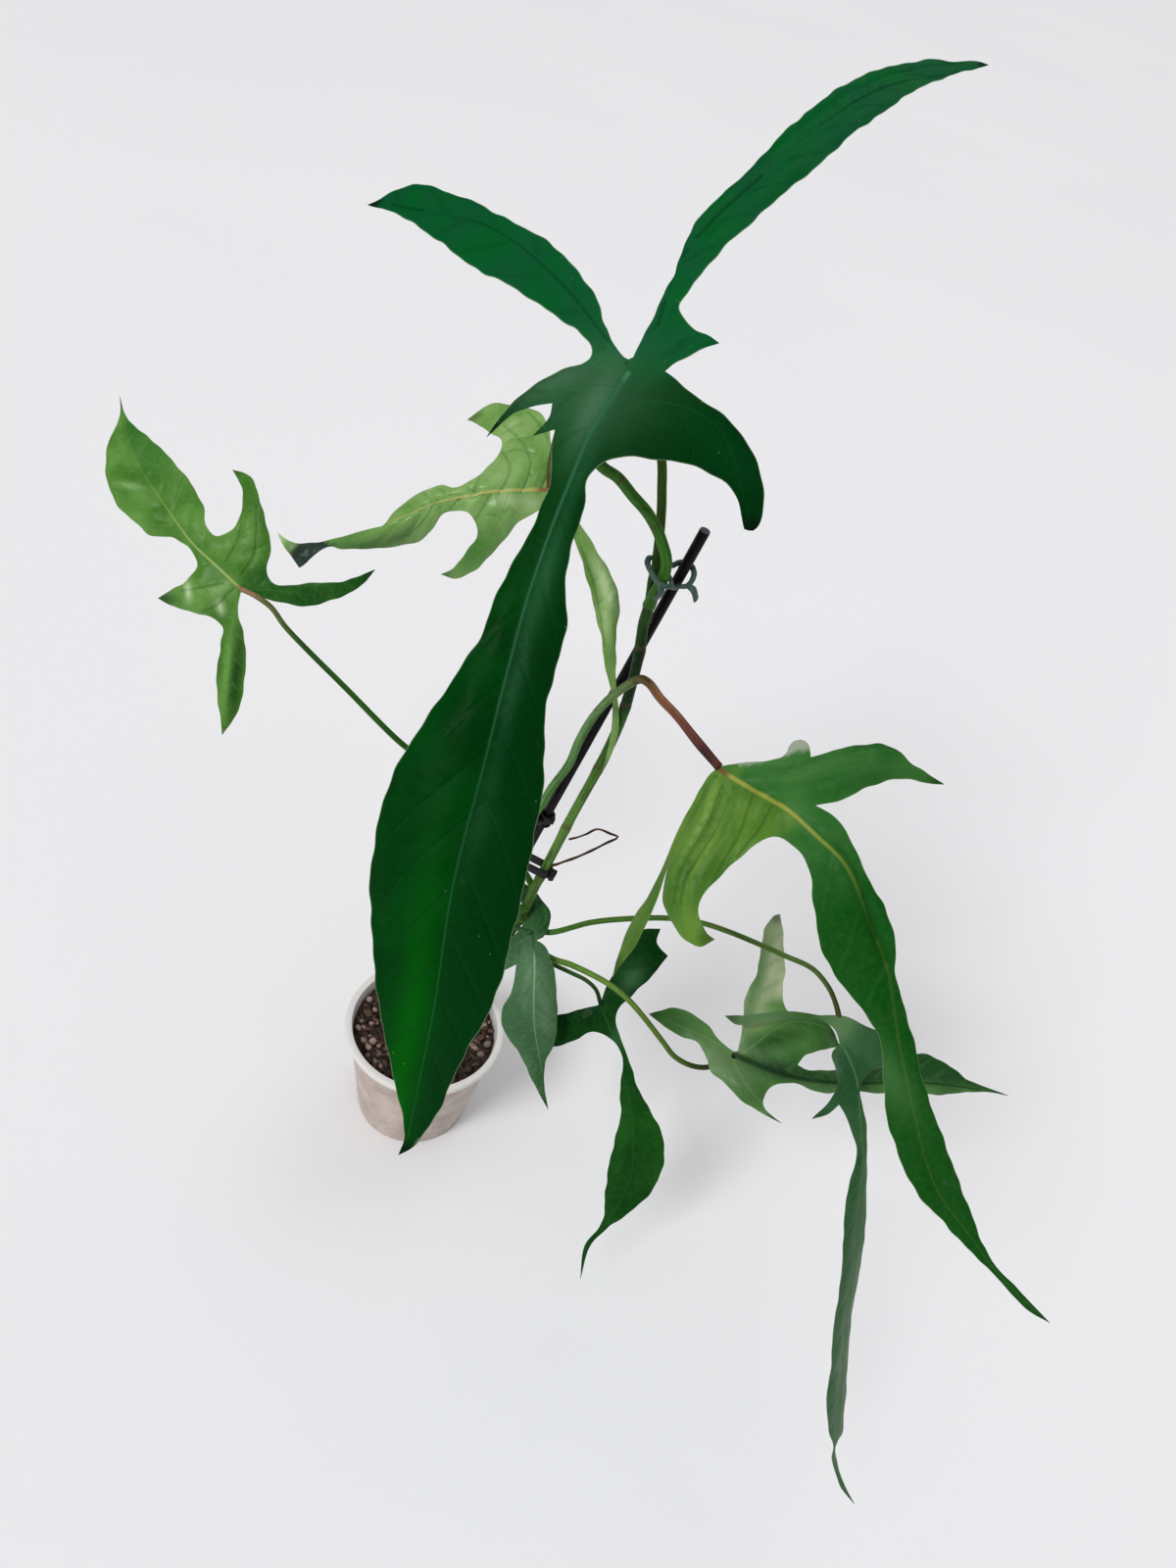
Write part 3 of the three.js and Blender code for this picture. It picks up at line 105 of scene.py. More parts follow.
# Each leaf is drawn flat. "pins" tie flat points (u, v) to places (x, y, z). "outline" goes round in
# stretches that each end in a corner. "ribs" start with the midrib, and "groove" is how deep it lies.
LEAVES = {
    # the youngest and largest, in front, with a long tongue and two raised back lobes
    "a": {
        "pins": [
            [0, 0, 34, -10, 631], [-4, 41, 26, -45, 611], [-9, 75, 23, -73, 591],
            [-11, 131, 21, -115, 554], [-7, 188, 23, -155, 513], [-3, 248, 24, -191, 464],
            [-2, 344, 31, -231, 377], [0, 390, 34, -246, 333], [36, 229, -16, -175, 472],
            [-33, 196, 49, -152, 504], [24, 33, 3, -27, 610], [51, 55, -22, -28, 586],
            [-49, 4, 80, -24, 622], [-94, 33, 109, -31, 577], [42, -19, 2, 22, 635],
            [118, -47, -60, 74, 642], [201, -52, -131, 115, 625], [6, -50, 43, 33, 656],
            [6, -127, 68, 97, 691], [-8, -227, 111, 180, 728], [-50, -314, 173, 252, 745],
            [-31, -28, 70, 0, 649],
        ],
        "outline": {
            "back_lobe_left_upper": [
                [3, -2], [18, -11], [44, -34], [78, -51], [110, -58], [149, -67], [182, -70], [201, -52],
            ],
            "back_lobe_left_lower": [
                [169, -47], [117, -29], [73, -20], [37, -10], [22, -1], [22, 5], [31, 14], [46, 33],
                [51, 55],
            ],
            "side_lobe_left": [[41, 41], [22, 32.5]], "small_tooth": [[20, 40], [23.5, 50.5]],
            "tooth_notch": [[13.5, 45]],
            "tongue_left": [
                [7, 59], [1, 72], [0, 100], [5, 125], [7, 145], [25, 184], [34, 215], [36, 253],
                [30, 285], [20, 321], [8, 359], [2, 378], [4, 391],
            ],
            "tongue_right": [
                [-2, 385], [-10, 369], [-21, 331], [-32, 291], [-34, 250], [-34, 209], [-30, 172],
                [-32, 128], [-25, 105], [-20, 74], [-15, 59], [-19, 49], [-40, 33], [-58, 25], [-77, 24],
                [-90, 33],
            ],
            "side_lobe_right": [[-94, 31], [-95, 26], [-92, 18], [-83, 8], [-60, 1], [-33, 0], [-16, -3]],
            "small_lobe_right": [[-18, -10], [-31, -28]],
            "back_lobe_right_outer": [
                [-17, -29], [-4, -37], [-1, -57], [-3, -101], [-10, -156], [-18, -213], [-31, -274],
                [-49, -315],
            ],
            "back_lobe_right_inner": [
                [-25, -297], [1, -248], [14, -191], [17, -136], [19, -88], [8, -47], [1, -4],
            ],
        },
        "ribs": {
            "midrib": [
                [-1, 4], [-4, 41], [-9, 75], [-11, 131], [-7, 188], [-3, 248], [-4, 313], [1, 387],
            ],
            "back_left": [[-1, 2], [19, -9], [58, -31], [114, -50], [198, -53]],
            "back_right": [[-2, 1], [-2, -22], [14, -71], [8, -146], [-10, -236], [-47, -313]],
            "side_left": [[-1, 13], [15, 21], [32, 34], [49, 52]],
            "side_right": [[-2, 30], [-25, 11], [-52, 7], [-93, 30]],
        },
        "groove": 2, "wave": {"height": 1, "length": 96, "lag": 1, "reach": 34},
    },
    # light green, behind leaf a, with its tip twisted and one back lobe hanging down
    "b": {
        "pins": [
            [0, 0, 6, 30, 539], [-6, 29, -21, 19, 535], [-20, 57, -49, 12, 523], [-17, 83, -70, 7, 509],
            [-9, 103, -102, 6, 487], [22, 119, -135, 12, 477], [0, 127, -118, -2, 468],
            [34, 25, -25, 56, 551], [51, 53, -52, 72, 543], [-32, 28, -20, 12, 510],
            [-56, 62, -43, 18, 476], [-34, 93, -76, 3, 490], [-6, 75, -68, 20, 515],
            [-21, -21, 29, 21, 523], [-39, -28, 40, 18, 507], [-78, -37, 56, 9, 473],
            [-118, -43, 70, 0, 439], [-167, -37, 74, -6, 388],
        ],
        "outline": {
            "side_lobe_upper": [[4, -3], [34, 4], [49, 13], [56, 30], [60, 42], [51, 53]],
            "tongue_upper": [
                [39, 41], [29, 30], [18, 31], [0, 41], [-8, 50], [-4, 58], [-5, 70], [-10, 81], [-18, 88],
            ],
            "twist_upper": [[-8, 103], [11, 117], [22, 119]], "twist_end": [[0, 127]],
            "tongue_lower": [
                [-11, 107], [-21, 103], [-36, 92], [-39, 76], [-35, 64], [-29, 57], [-23, 40], [-30, 34],
                [-42, 40], [-53, 53], [-56, 62],
            ],
            "side_lobe_lower": [
                [-58, 50], [-47, 32], [-32, 20], [-21, 13], [-12, 4], [-8, -5], [-14, -12], [-26, -17],
                [-43, -23], [-73, -32], [-97, -36], [-118, -41], [-144, -41], [-167, -37],
            ],
            "hanging_lobe": [
                [-152, -43], [-134, -46], [-109, -43], [-91, -42], [-72, -42], [-54, -41], [-39, -34],
                [-23, -25], [-14, -17], [-1, -9],
            ],
        },
        "ribs": {
            "midrib": [[0, 0], [-6, 29], [-20, 57], [-17, 83], [-9, 103], [8, 120]],
            "side_upper": [[-2, 9], [24, 7], [45, 22], [52, 51]],
            "side_lower": [[-5, 22], [-26, 25], [-48, 40], [-56, 59]],
            "hanging": [
                [-1, -2], [-9, -14], [-28, -24], [-55, -35], [-84, -38], [-118, -43], [-160, -38],
            ],
        },
        "groove": 1.5, "wave": {"height": 1.2, "length": 37, "lag": 2, "reach": 20},
    },
    # small, mid green, out to the left
    "c": {
        "pins": [
            [0, 0, -180, 71, 389], [-4, 20, -198, 77, 396], [-9, 44, -220, 86, 403],
            [-11, 76, -245, 103, 413], [-11, 104, -266, 120, 421], [-11, 130, -285, 137, 427],
            [0, 173, -308, 171, 443], [38, 35, -183, 103, 429], [39, 74, -211, 130, 436],
            [28, -28, -142, 83, 390], [82, -38, -110, 128, 393], [-35, -26, -180, 59, 347],
            [-85, -59, -178, 39, 291], [-24, 15, -207, 66, 380], [-56, 35, -238, 75, 360],
            [-28, 132, -297, 130, 417], [10, 70, -227, 111, 422],
        ],
        "outline": {
            "back_lobe_right_lower": [
                [2, -1], [3, -7], [10, -19], [22, -33], [41, -41], [65, -43], [83, -38],
            ],
            "back_lobe_right_upper": [
                [57, -34], [32, -22], [19, -13], [18, -5], [32, 11], [38, 25], [46, 50], [46, 64],
                [39, 74],
            ],
            "tongue_right": [
                [38, 59], [31, 44], [19, 35], [7, 36], [5, 47], [10, 59], [11, 74], [10, 95], [6, 120],
                [-1, 142], [-3, 159], [0, 173],
            ],
            "tongue_left": [
                [-7, 158], [-22, 144], [-35, 124], [-39, 103], [-37, 83], [-32, 67], [-18, 55], [-13, 43],
                [-14, 30], [-28, 27], [-56, 35],
            ],
            "side_lobe_left": [
                [-46, 19], [-29, -1], [-27, -11], [-39, -18], [-55, -28], [-67, -38], [-85, -59],
            ],
            "hanging_lobe": [[-67, -56], [-43, -44], [-22, -25], [-12, -11], [-2, -2]],
        },
        "ribs": {
            "midrib": [[0, 0], [-4, 20], [-9, 44], [-11, 76], [-12, 104], [-11, 129], [-2, 167]],
            "side_upper": [[-2, 15], [20, 20], [38, 40], [40, 71]],
            "back_right": [[2, -2], [13, -12], [33, -31], [78, -38]],
            "hanging": [[-2, -1], [-16, -11], [-45, -31], [-82, -57]],
            "side_left": [[-3, 1], [-19, 7], [-52, 32]],
        },
        "groove": 1.6, "wave": {"height": 1.2, "length": 52, "lag": 2.5, "reach": 26},
    },
    # large, out to the right, on a red stalk
    "d": {
        "pins": [
            [0, 0, 130, -65, 464], [-7, 21, 149, -76, 466], [-14, 38, 166, -85, 467],
            [-18, 58, 184, -95, 463], [-21, 77, 200, -104, 457], [-21, 95, 213, -113, 447],
            [-15, 131, 235, -126, 422], [7, 187, 263, -153, 376], [20, 248, 297, -176, 328],
            [19, 315, 344, -192, 284], [0, 366, 392, -192, 257], [-28, 14, 159, -59, 474],
            [-66, 30, 196, -46, 486], [-102, 70, 247, -37, 472], [-30, 109, 228, -109, 441],
            [-1, 69, 183, -101, 444], [8, 127, 217, -130, 407], [14, 31, 146, -90, 447],
            [54, 35, 126, -109, 417], [55, 67, 151, -126, 406], [-2, 44, 164, -91, 455],
            [30, 0, 125, -69, 442], [73, -6, 119, -85, 401], [128, -2, 110, -112, 340],
        ],
        "outline": {
            "small_back_lobe": [
                [-2, -1], [-18, 7], [-30, 12], [-34, 10.5], [-37.5, 7.5], [-42, 6.3], [-46, 8.5],
                [-46, 13], [-43, 19],
            ],
            "side_lobe_upper": [[-53, 22], [-68, 27], [-83, 34], [-89, 48], [-103, 70]],
            "side_lobe_lower": [[-74, 52], [-58, 49], [-42, 48], [-28, 43]],
            "tongue_right": [
                [-32, 52], [-33, 65], [-31, 81], [-30, 109], [-27, 122], [-18, 136], [-6, 175], [2, 206],
                [6, 247], [12, 309], [7, 334], [0, 366],
            ],
            "tongue_left": [
                [8, 349], [15, 317], [25, 274], [31, 243], [27, 200], [15, 176], [8, 160], [8, 139],
                [10, 108], [4, 88], [-3, 73], [-5, 56], [0, 46], [12, 43], [33, 46], [49, 50], [56, 61],
                [55, 67],
            ],
            "front_lobe": [[64, 63], [68, 51], [70, 36], [70, 22], [68, 12], [64.5, 4.5], [60, 0.8]],
            "hanging_lobe_front": [[66, 0.6], [76, 1.9], [100, 4], [128, -2]],
            "hanging_lobe_back": [[112, -14], [74, -10], [40, -4], [12, -2.6], [1, -2]],
        },
        "ribs": {
            "midrib": [
                [0, 0], [-7, 21], [-14, 38], [-18, 58], [-22, 77], [-21, 96], [-15, 131], [7, 187],
                [20, 248], [16, 290], [13.5, 313], [9, 335], [2, 362],
            ],
            "side": [[-5, 12], [-23, 24], [-53, 32], [-86, 46], [-100, 67]],
            "hanging": [[4, -1], [30, 0], [73, -5], [122, -3]],
            "front": [[-3, 9], [17, 23], [44, 33], [58, 47], [57, 64]],
        },
        "groove": 1.8, "wave": {"height": 1.2, "length": 74, "lag": 1.5, "reach": 26},
    },
    # old and small, low on the right, its lobes spread like a star
    "e": {
        "pins": [
            [0, 0, 205, -64, 244], [4, 23, 228, -69, 246], [-1, 66, 270, -68, 251],
            [-7, 96, 300, -60, 254], [-7, 148, 349, -45, 251], [0, 190, 389, -34, 243],
            [-26, 121, 321, -43, 269], [9, 64, 269, -76, 245], [-10, -34, 171, -53, 246],
            [-8, -61, 147, -45, 236], [8, -8, 197, -71, 241], [19, 10, 215, -82, 238],
            [36, 40, 245, -88, 221], [-47, 9, 215, -21, 263], [-104, 8, 215, 33, 280],
            [-20, -1, 205, -46, 254], [-29, 25, 230, -40, 262], [-35, 50, 256, -34, 261],
            [-30, 68, 271, -38, 251],
        ],
        "outline": {
            "back_lobe_upper": [[-2, 0], [-6, -11], [-14, -21], [-18, -30], [-18, -45], [-8, -61]],
            "back_lobe_lower": [
                [-2, -42], [-1, -25], [8, -17], [16, -12], [20, -3], [27, 9], [32, 23], [36, 40],
            ],
            "tongue_lower": [
                [29, 26], [24, 23], [15, 26], [8, 38], [9, 50], [8, 59], [3, 70], [1, 80], [1, 97],
                [-1, 137], [-3, 172], [0, 191],
            ],
            "tongue_upper": [
                [-11, 159], [-24, 132], [-28, 115], [-22, 100], [-16, 82], [-10, 63], [-3, 46], [-4, 39],
            ],
            "side_lobe_lower": [[-12, 43], [-22, 58], [-30, 69]],
            "raised_lobe_right": [
                [-35, 62], [-37, 49], [-36, 27], [-44, 22], [-64, 20], [-89, 15], [-104, 10],
            ],
            "raised_lobe_left": [[-101, 6], [-90, 2], [-59, 2], [-36, -2], [-16, 0], [-3, 1]],
        },
        "ribs": {
            "midrib": [[0, 0], [4, 23], [4, 39], [-1, 66], [-7, 96], [-7, 148], [-1, 186]],
            "back": [[-1, -3], [-6, -24], [-9, -57]], "lower": [[3, -1], [16, 9], [33, 35]],
            "raised": [[-3, 1], [-38, 5], [-75, 7], [-101, 8]], "side": [[-2, 4], [-28, 29], [-35, 60]],
        },
        "groove": 1.2, "wave": {"height": 1, "length": 42, "lag": 2, "reach": 20},
    },
    # old and narrow, right, its long tongue hanging almost to the floor
    "f": {
        "pins": [
            [0, 0, 257, -73, 294], [-3, 9, 263, -80, 291], [-6, 26, 272, -91, 282],
            [-6, 69, 287, -116, 250], [1, 118, 297, -143, 210], [8, 182, 311, -176, 156],
            [13, 257, 330, -212, 93], [0, 307, 357, -230, 53], [-18, 0, 274, -68, 299],
            [-44, 11, 300, -63, 290], [-24, 21, 286, -80, 286], [7, 14, 256, -87, 287],
            [22, 43, 252, -103, 259], [4, -15, 248, -60, 296], [32, -24, 224, -55, 281],
            [69, -33, 192, -50, 260], [-16, 70, 294, -111, 245], [13, 120, 290, -150, 216],
            [-13, 120, 307, -137, 202], [22, 182, 302, -183, 166], [-7, 182, 319, -169, 146],
            [26, 220, 311, -202, 134], [-4, 220, 329, -188, 114], [24, 257, 323, -217, 101],
            [1, 257, 337, -207, 85],
        ],
        "outline": {
            "strap_lower": [[2, -9], [9, -16], [20, -21], [34, -22], [51, -24], [62, -26], [69, -34]],
            "strap_upper": [
                [50, -31], [30, -28], [17, -23], [8, -19], [-2, -18], [-11, -13], [-21, -6], [-37, 0],
                [-54, 14],
            ],
            "tongue_right": [
                [-37, 15], [-22, 18], [-14, 20], [-8, 26], [-11, 47], [-13, 70], [-14, 95], [-13, 120],
                [-10, 150], [-7, 182], [-4, 220], [-1, 238], [0, 251], [6, 257], [15, 262], [14, 276],
                [8, 292], [0, 307],
            ],
            "tongue_left": [
                [14, 292], [19, 279], [22, 269], [18, 262], [22, 254], [27, 238], [27, 220], [22, 182],
                [17, 150], [13, 120], [9, 95], [-2, 68], [2, 46], [6, 37],
            ],
            "hook_lower": [[13, 43], [23, 46]],
            "hook_upper": [[12.5, 36], [7, 25], [7, 14], [7, 5], [1, 0]],
        },
        "ribs": {
            "midrib": [
                [0, 0], [-3, 9], [-6, 25], [-7, 69], [0, 118], [7, 182], [12, 235], [16.6, 262],
                [15, 280], [2, 303],
            ],
            "strap": [[0, -2], [4, -13], [31, -25], [66, -31]], "side": [[-2, 2], [-18, 1], [-48, 13]],
            "hook": [[-2, 18], [5, 31], [19, 42]],
        },
        "groove": 0.8, "wave": {"height": 0.6, "length": 60, "lag": 2, "reach": 14},
    },
    # dark, hanging down in front of the pot's right side
    "g": {
        "pins": [
            [0, 0, 118, -25, 206], [-5, 15, 127, -35, 197], [-13, 43, 144, -49, 178],
            [-24, 86, 162, -68, 143], [-25, 132, 171, -88, 102], [-12, 168, 164, -104, 68],
            [0, 210, 160, -128, 32], [-19, -27, 128, 0, 225], [-43, -52, 144, 26, 241],
            [-48, -33, 154, 13, 231], [16, 12, 107, -34, 192], [43, 19, 84, -36, 175],
            [-9, 109, 151, -82, 121], [-47, 106, 188, -75, 129],
        ],
        "outline": {
            "back_lobe_left": [[1, -1], [-4, -12], [-19, -37], [-31, -51], [-43, -52]],
            "back_lobe_end": [[-40, -42], [-48, -33]],
            "tongue_right": [
                [-36, -19], [-22, -7], [-12, 3], [-11, 13], [-15, 29], [-23, 54], [-44, 88], [-49, 107],
                [-45, 131], [-30, 154], [-15, 170], [-5, 183], [0, 210],
            ],
            "tongue_left": [
                [-1, 183], [-11, 166], [-11, 137], [-13, 100], [-15, 78], [-12, 54], [-13, 35], [-7, 23],
                [5, 17], [18, 23], [35, 30], [48, 26],
            ],
            "side_lobe": [[38, 11], [22, 4], [9, 1], [3, 0]],
        },
        "ribs": {
            "midrib": [[0, 0], [-8, 22], [-14, 50], [-25, 86], [-27, 127], [-14, 167], [-1, 204]],
            "back": [[-1, -3], [-19, -27], [-41, -47]], "side": [[2, 2], [20, 12], [44, 24]],
        },
        "groove": 1.2, "wave": {"height": 0.8, "length": 66, "lag": 2, "reach": 24},
    },
    # short and grey-green, beside the pot's rim
    "h": {
        "pins": [
            [0, 0, 59, -12, 243], [-2, 21, 66, -29, 233], [1, 47, 74, -47, 215], [3, 72, 81, -58, 193],
            [0, 125, 103, -78, 149], [23, 56, 57, -53, 199], [-16, 55, 90, -41, 209],
            [-10, -15, 66, 6, 249], [10, -33, 43, 20, 251], [34, 20, 38, -23, 212],
            [16, 78, 71, -61, 183], [-5, 84, 93, -60, 185],
        ],
        "outline": {
            "hooked_lobe_outer": [[-9, 3], [-12, -4], [-12, -12], [-4, -24], [5, -32], [14, -38]],
            "hooked_lobe_end": [[20, -31]],
            "side_lobe_upper": [[13, -24], [6, -17], [6, -9], [10, -3], [17, 3], [28, 9], [40, 23]],
            "side_lobe_lower": [[26, 24], [12, 20]],
            "tongue_left": [[15, 30], [24, 50], [24, 65], [18, 77], [11, 97], [6, 111], [0, 125]],
            "tongue_right": [[1, 106], [-2, 89], [-13, 71], [-17, 50], [-15, 20], [-10, 9], [-4, 5]],
        },
        "ribs": {
            "midrib": [[-1, 0], [-3, 21], [1, 46], [2, 72], [1, 120]],
            "hooked": [[-2, 0], [-9, -8], [-1, -25], [13, -33]], "side": [[1, 2], [17, 10], [36, 21]],
        },
        "groove": 1.2, "wave": {"height": 0.8, "length": 44, "lag": 2, "reach": 20},
    },
}

# Routes of the main stem, the leaf stalks and the aerial root, from the pot upwards
STEM_ROUTE = [
    [15, -4, 58], [14, -4, 92], [20, 3, 143], [31, 1, 180], [42, 0, 214], [50, 1, 243], [53, 3, 270],
    [56, 4, 288], [60, 5, 313], [64, 7, 338], [72, 7, 385], [76, 3, 424], [76, 0, 457], [75, -1, 477],
    [73, -1, 493], [73, -2, 503], [73, -2, 509],
]
STALKS = {
    "a": {
        "radius": [3.1, 2.6],
        "route": [
            [73, -2, 506], [74, -4, 516], [76, -5, 526], [75, -4, 536], [70, -3, 545], [66, -3, 551],
            [59, -4, 559], [50, -5, 566], [41, -7, 574], [32, -10, 579], [22, -10, 589], [18, -7, 601],
            [21, -4, 613], [28, -5, 623], [34, -8, 629],
        ],
    },
    "b": {
        "radius": [2.6, 2.2],
        "route": [
            [74, 1, 494], [73, 4, 503], [72, 4, 511], [71, 3, 519], [71, 3, 526], [70, 4, 532],
            [69, 6, 538], [67, 9, 548], [65, 11, 557], [63, 13, 564], [59, 19, 576], [52, 26, 587],
            [42, 33, 595], [28, 37, 597], [14, 39, 589], [5, 38, 576], [3, 36, 560], [4, 32, 548],
            [6, 29, 540],
        ],
    },
    "c": {
        "radius": [2.2, 1.6],
        "route": [
            [53, 3, 268], [46, 12, 269], [34, 17, 278], [14, 20, 297], [-10, 25, 311], [-33, 29, 325],
            [-57, 32, 336], [-100, 43, 359], [-127, 51, 372], [-145, 58, 380], [-157, 65, 386],
            [-168, 68, 389], [-180, 71, 389],
        ],
    },
    "d": {
        "radius": [2.9, 2.3],
        "route": [
            [51, 1, 252], [44, -7, 252], [35, -9, 258], [28, -8, 270], [27, -6, 291], [33, -5, 314],
            [38, -3, 330], [44, 0, 346], [47, -1, 361], [54, -1, 385], [56, -3, 405], [59, -4, 421],
            [63, -7, 436], [68, -11, 450], [74, -13, 461], [80, -17, 470], [85, -22, 472], [92, -30, 471],
            [103, -40, 470], [116, -52, 467], [130, -64, 464],
        ],
    },
    "e": {
        "radius": [2.2, 1.6],
        "route": [
            [45, -3, 221], [60, -8, 226], [78, -15, 227], [90, -18, 230], [116, -26, 232],
            [131, -32, 230], [142, -39, 228], [161, -54, 224], [170, -61, 222], [180, -66, 224],
            [189, -68, 228], [198, -67, 235], [205, -64, 243],
        ],
    },
    "f": {
        "radius": [2, 1.5],
        "route": [
            [49, -1, 240], [59, -3, 240], [69, -5, 240], [95, -3, 259], [113, -3, 270], [143, -7, 288],
            [163, -10, 295], [182, -16, 300], [200, -23, 304], [215, -29, 307], [232, -36, 310],
            [243, -45, 308], [250, -51, 302], [255, -59, 296], [258, -68, 291],
        ],
    },
    "g": {
        "radius": [1.7, 1.3],
        "route": [
            [44, -2, 214], [61, -6, 215], [82, -10, 215], [92, -12, 215], [104, -15, 215],
            [112, -19, 213], [118, -25, 206],
        ],
    },
    "h": {"radius": [1.7, 1.4], "route": [[47, -3, 233], [53, -8, 239], [59, -12, 243]]},
}
ROOT_ROUTE = [
    [57, 4, 292], [62, 4, 295], [67, 6, 298], [74, 9, 302], [84, 13, 310], [90, 16, 315], [96, 19, 320],
    [91, 21, 319], [82, 24, 317], [76, 23, 311], [71, 22, 307], [66, 21, 304],
]

# Curves


def bend_between(p0, p1, p2, p3, shares):
    """Points of the smooth curve from p1 to p2, at some shares of the way."""
    pairs = ((p0, p1), (p1, p2), (p2, p3))
    d0, d1, d2 = (max(1e-4, np.linalg.norm(b - a)) ** 0.5 for a, b in pairs)
    out = ((p1 - p0) / d0 - (p2 - p0) / (d0 + d1) + (p2 - p1) / d1) * d1
    into = ((p2 - p1) / d1 - (p3 - p1) / (d1 + d2) + (p3 - p2) / d2) * d1
    t = shares[:, None]
    cubic = 2 * (p1 - p2) + out + into
    square = 3 * (p2 - p1) - 2 * out - into
    return p1 + out * t + square * t**2 + cubic * t**3


def smooth(points, step, closed=False, least=1):
    """Evenly spaced points along a smooth curve through the given ones."""
    p = np.array(points, float)
    if closed:
        p = np.vstack([p[-1:], p, p[:2]])
    else:
        p = np.vstack([2 * p[0] - p[1], p, 2 * p[-1] - p[-2]])
    shares = np.arange(CURVE_PARTS) / CURVE_PARTS
    fine = [bend_between(*p[i : i + 4], shares) for i in range(len(p) - 3)]
    fine = np.vstack([*fine, p[-2]])
    run = np.r_[0, np.cumsum(np.linalg.norm(np.diff(fine, axis=0), axis=1))]
    count = max(least, round(run[-1] / step))
    stops = np.linspace(0, run[-1], count + 1)
    even = np.stack([np.interp(stops, run, column) for column in fine.T], axis=1)
    return even[:-1] if closed else even


def length_of(line):
    return np.linalg.norm(np.diff(line, axis=0), axis=1).sum()


def unit(vectors):
    return vectors / np.linalg.norm(vectors, axis=1)[:, None]


def circle(sides):
    """Evenly spaced angles, once round."""
    return 2 * math.pi * np.arange(sides) / sides


def to_nearest(points, spots):
    """How far each point is from the nearest of some spots."""
    return np.min([np.linalg.norm(points - spot, axis=1) for spot in spots], axis=0)


def nearest(line, uv):
    """How far each point is from a line, how far along the line that is, and on which side."""
    start, along = line[:-1], np.diff(line, axis=0)
    length = np.linalg.norm(along, axis=1)
    away = uv[:, None] - start[None]
    share = np.clip((away * along).sum(2) / length**2, 0, 1)
    gap = np.linalg.norm(away - share[..., None] * along, axis=2)
    best = gap.argmin(1)
    row = np.arange(len(uv))
    run = (np.cumsum(length) - length)[best] + share[row, best] * length[best]
    off = away[row, best]
    side = along[best, 0] * off[:, 1] - along[best, 1] * off[:, 0]
    return gap[row, best], run, side / length[best]


def bell(x, width):
    """1 at 0, falling smoothly to nothing on both sides."""
    return np.exp(-((x / width) ** 2))


def rise(x, low, high):
    """0 below low, 1 above high, and smooth between them."""
    t = np.clip((np.asarray(x, float) - low) / (high - low), 0, 1)
    return t * t * (3 - 2 * t)


# Meshes


def add_object(name, data):
    """A new object in the scene."""
    thing = bpy.data.objects.new(name, data)
    bpy.context.scene.collection.objects.link(thing)
    return thing


def solid(name, part, cad_nodes, material):
    """A piece from a part: its points in millimetres, its faces, and its values for the shader.

    Each value is one number or one triple for each point."""
    points, faces, values = part
    mesh = bpy.data.meshes.new(name)
    mesh.from_pydata((np.asarray(points, float) * MM).tolist(), [], faces)
    for key, data in values.items():
        data = np.asarray(data, np.float32)
        kind = "FLOAT" if data.ndim == 1 else "FLOAT_VECTOR"
        layer = mesh.attributes.new(key, kind, "POINT")
        layer.data.foreach_set("value" if data.ndim == 1 else "vector", data.ravel())
    mesh.polygons.foreach_set("use_smooth", [True] * len(mesh.polygons))
    mesh.materials.append(material)
    piece = add_object(name, mesh)
    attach(piece, "root")
    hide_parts(*cad_nodes)
    return piece


def keep_sharp(piece, over):
    """Keeps the edges sharp whose two faces turn by more than an angle in degrees."""
    piece.data.set_sharp_from_angle(angle=math.radians(over))


def ring_faces(rows, sides, closed=False, inward=False):
    """Faces between each row of points and the next, where every row is a ring."""
    faces = []
    for i in range(rows if closed else rows - 1):
        j = (i + 1) % rows
        for k in range(sides):
            m = (k + 1) % sides
            a, b, c, d = i * sides + k, i * sides + m, j * sides + m, j * sides + k
            faces.append((a, d, c, b) if inward else (a, b, c, d))
    return faces


def loop_edges(first, count):
    """Edges round a closed line whose points are numbered from first."""
    return [(first + k, first + (k + 1) % count) for k in range(count)]


def filled(points, edges):
    """Triangles between flat points, inside the outer edges and along the inner ones."""
    found = delaunay_2d_cdt([Vector(p) for p in points], edges, [], 1, 1e-5)
    origin = [inputs[0] for inputs in found[3]]
    return [[origin[i] for i in face] for face in found[2]]


def frames_along(line, closed=False):
    """Two directions across the line at each of its points, which turn as little as they can."""
    along = unit(np.roll(line, -1, 0) - np.roll(line, 1, 0) if closed else np.gradient(line, axis=0))
    helper = (0, 0, 1) if abs(along[0][2]) < 0.9 else (0, 1, 0)
    across = np.cross(along[0], helper)
    first = []
    for direction in along:
        across = across - direction * (across @ direction)
        across = across / np.linalg.norm(across)
        first.append(across)
    first = np.array(first)
    if closed:  # spread what is left of the turn over the whole ring
        back = first[0] - along[-1] * (first[0] @ along[-1])
        left = math.atan2(np.cross(first[-1], back) @ along[-1], first[-1] @ back)
        turn = left * np.arange(len(line)) / len(line)
        other = np.cross(along, first)
        first = first * np.cos(turn)[:, None] + other * np.sin(turn)[:, None]
    return first, np.cross(along, first)


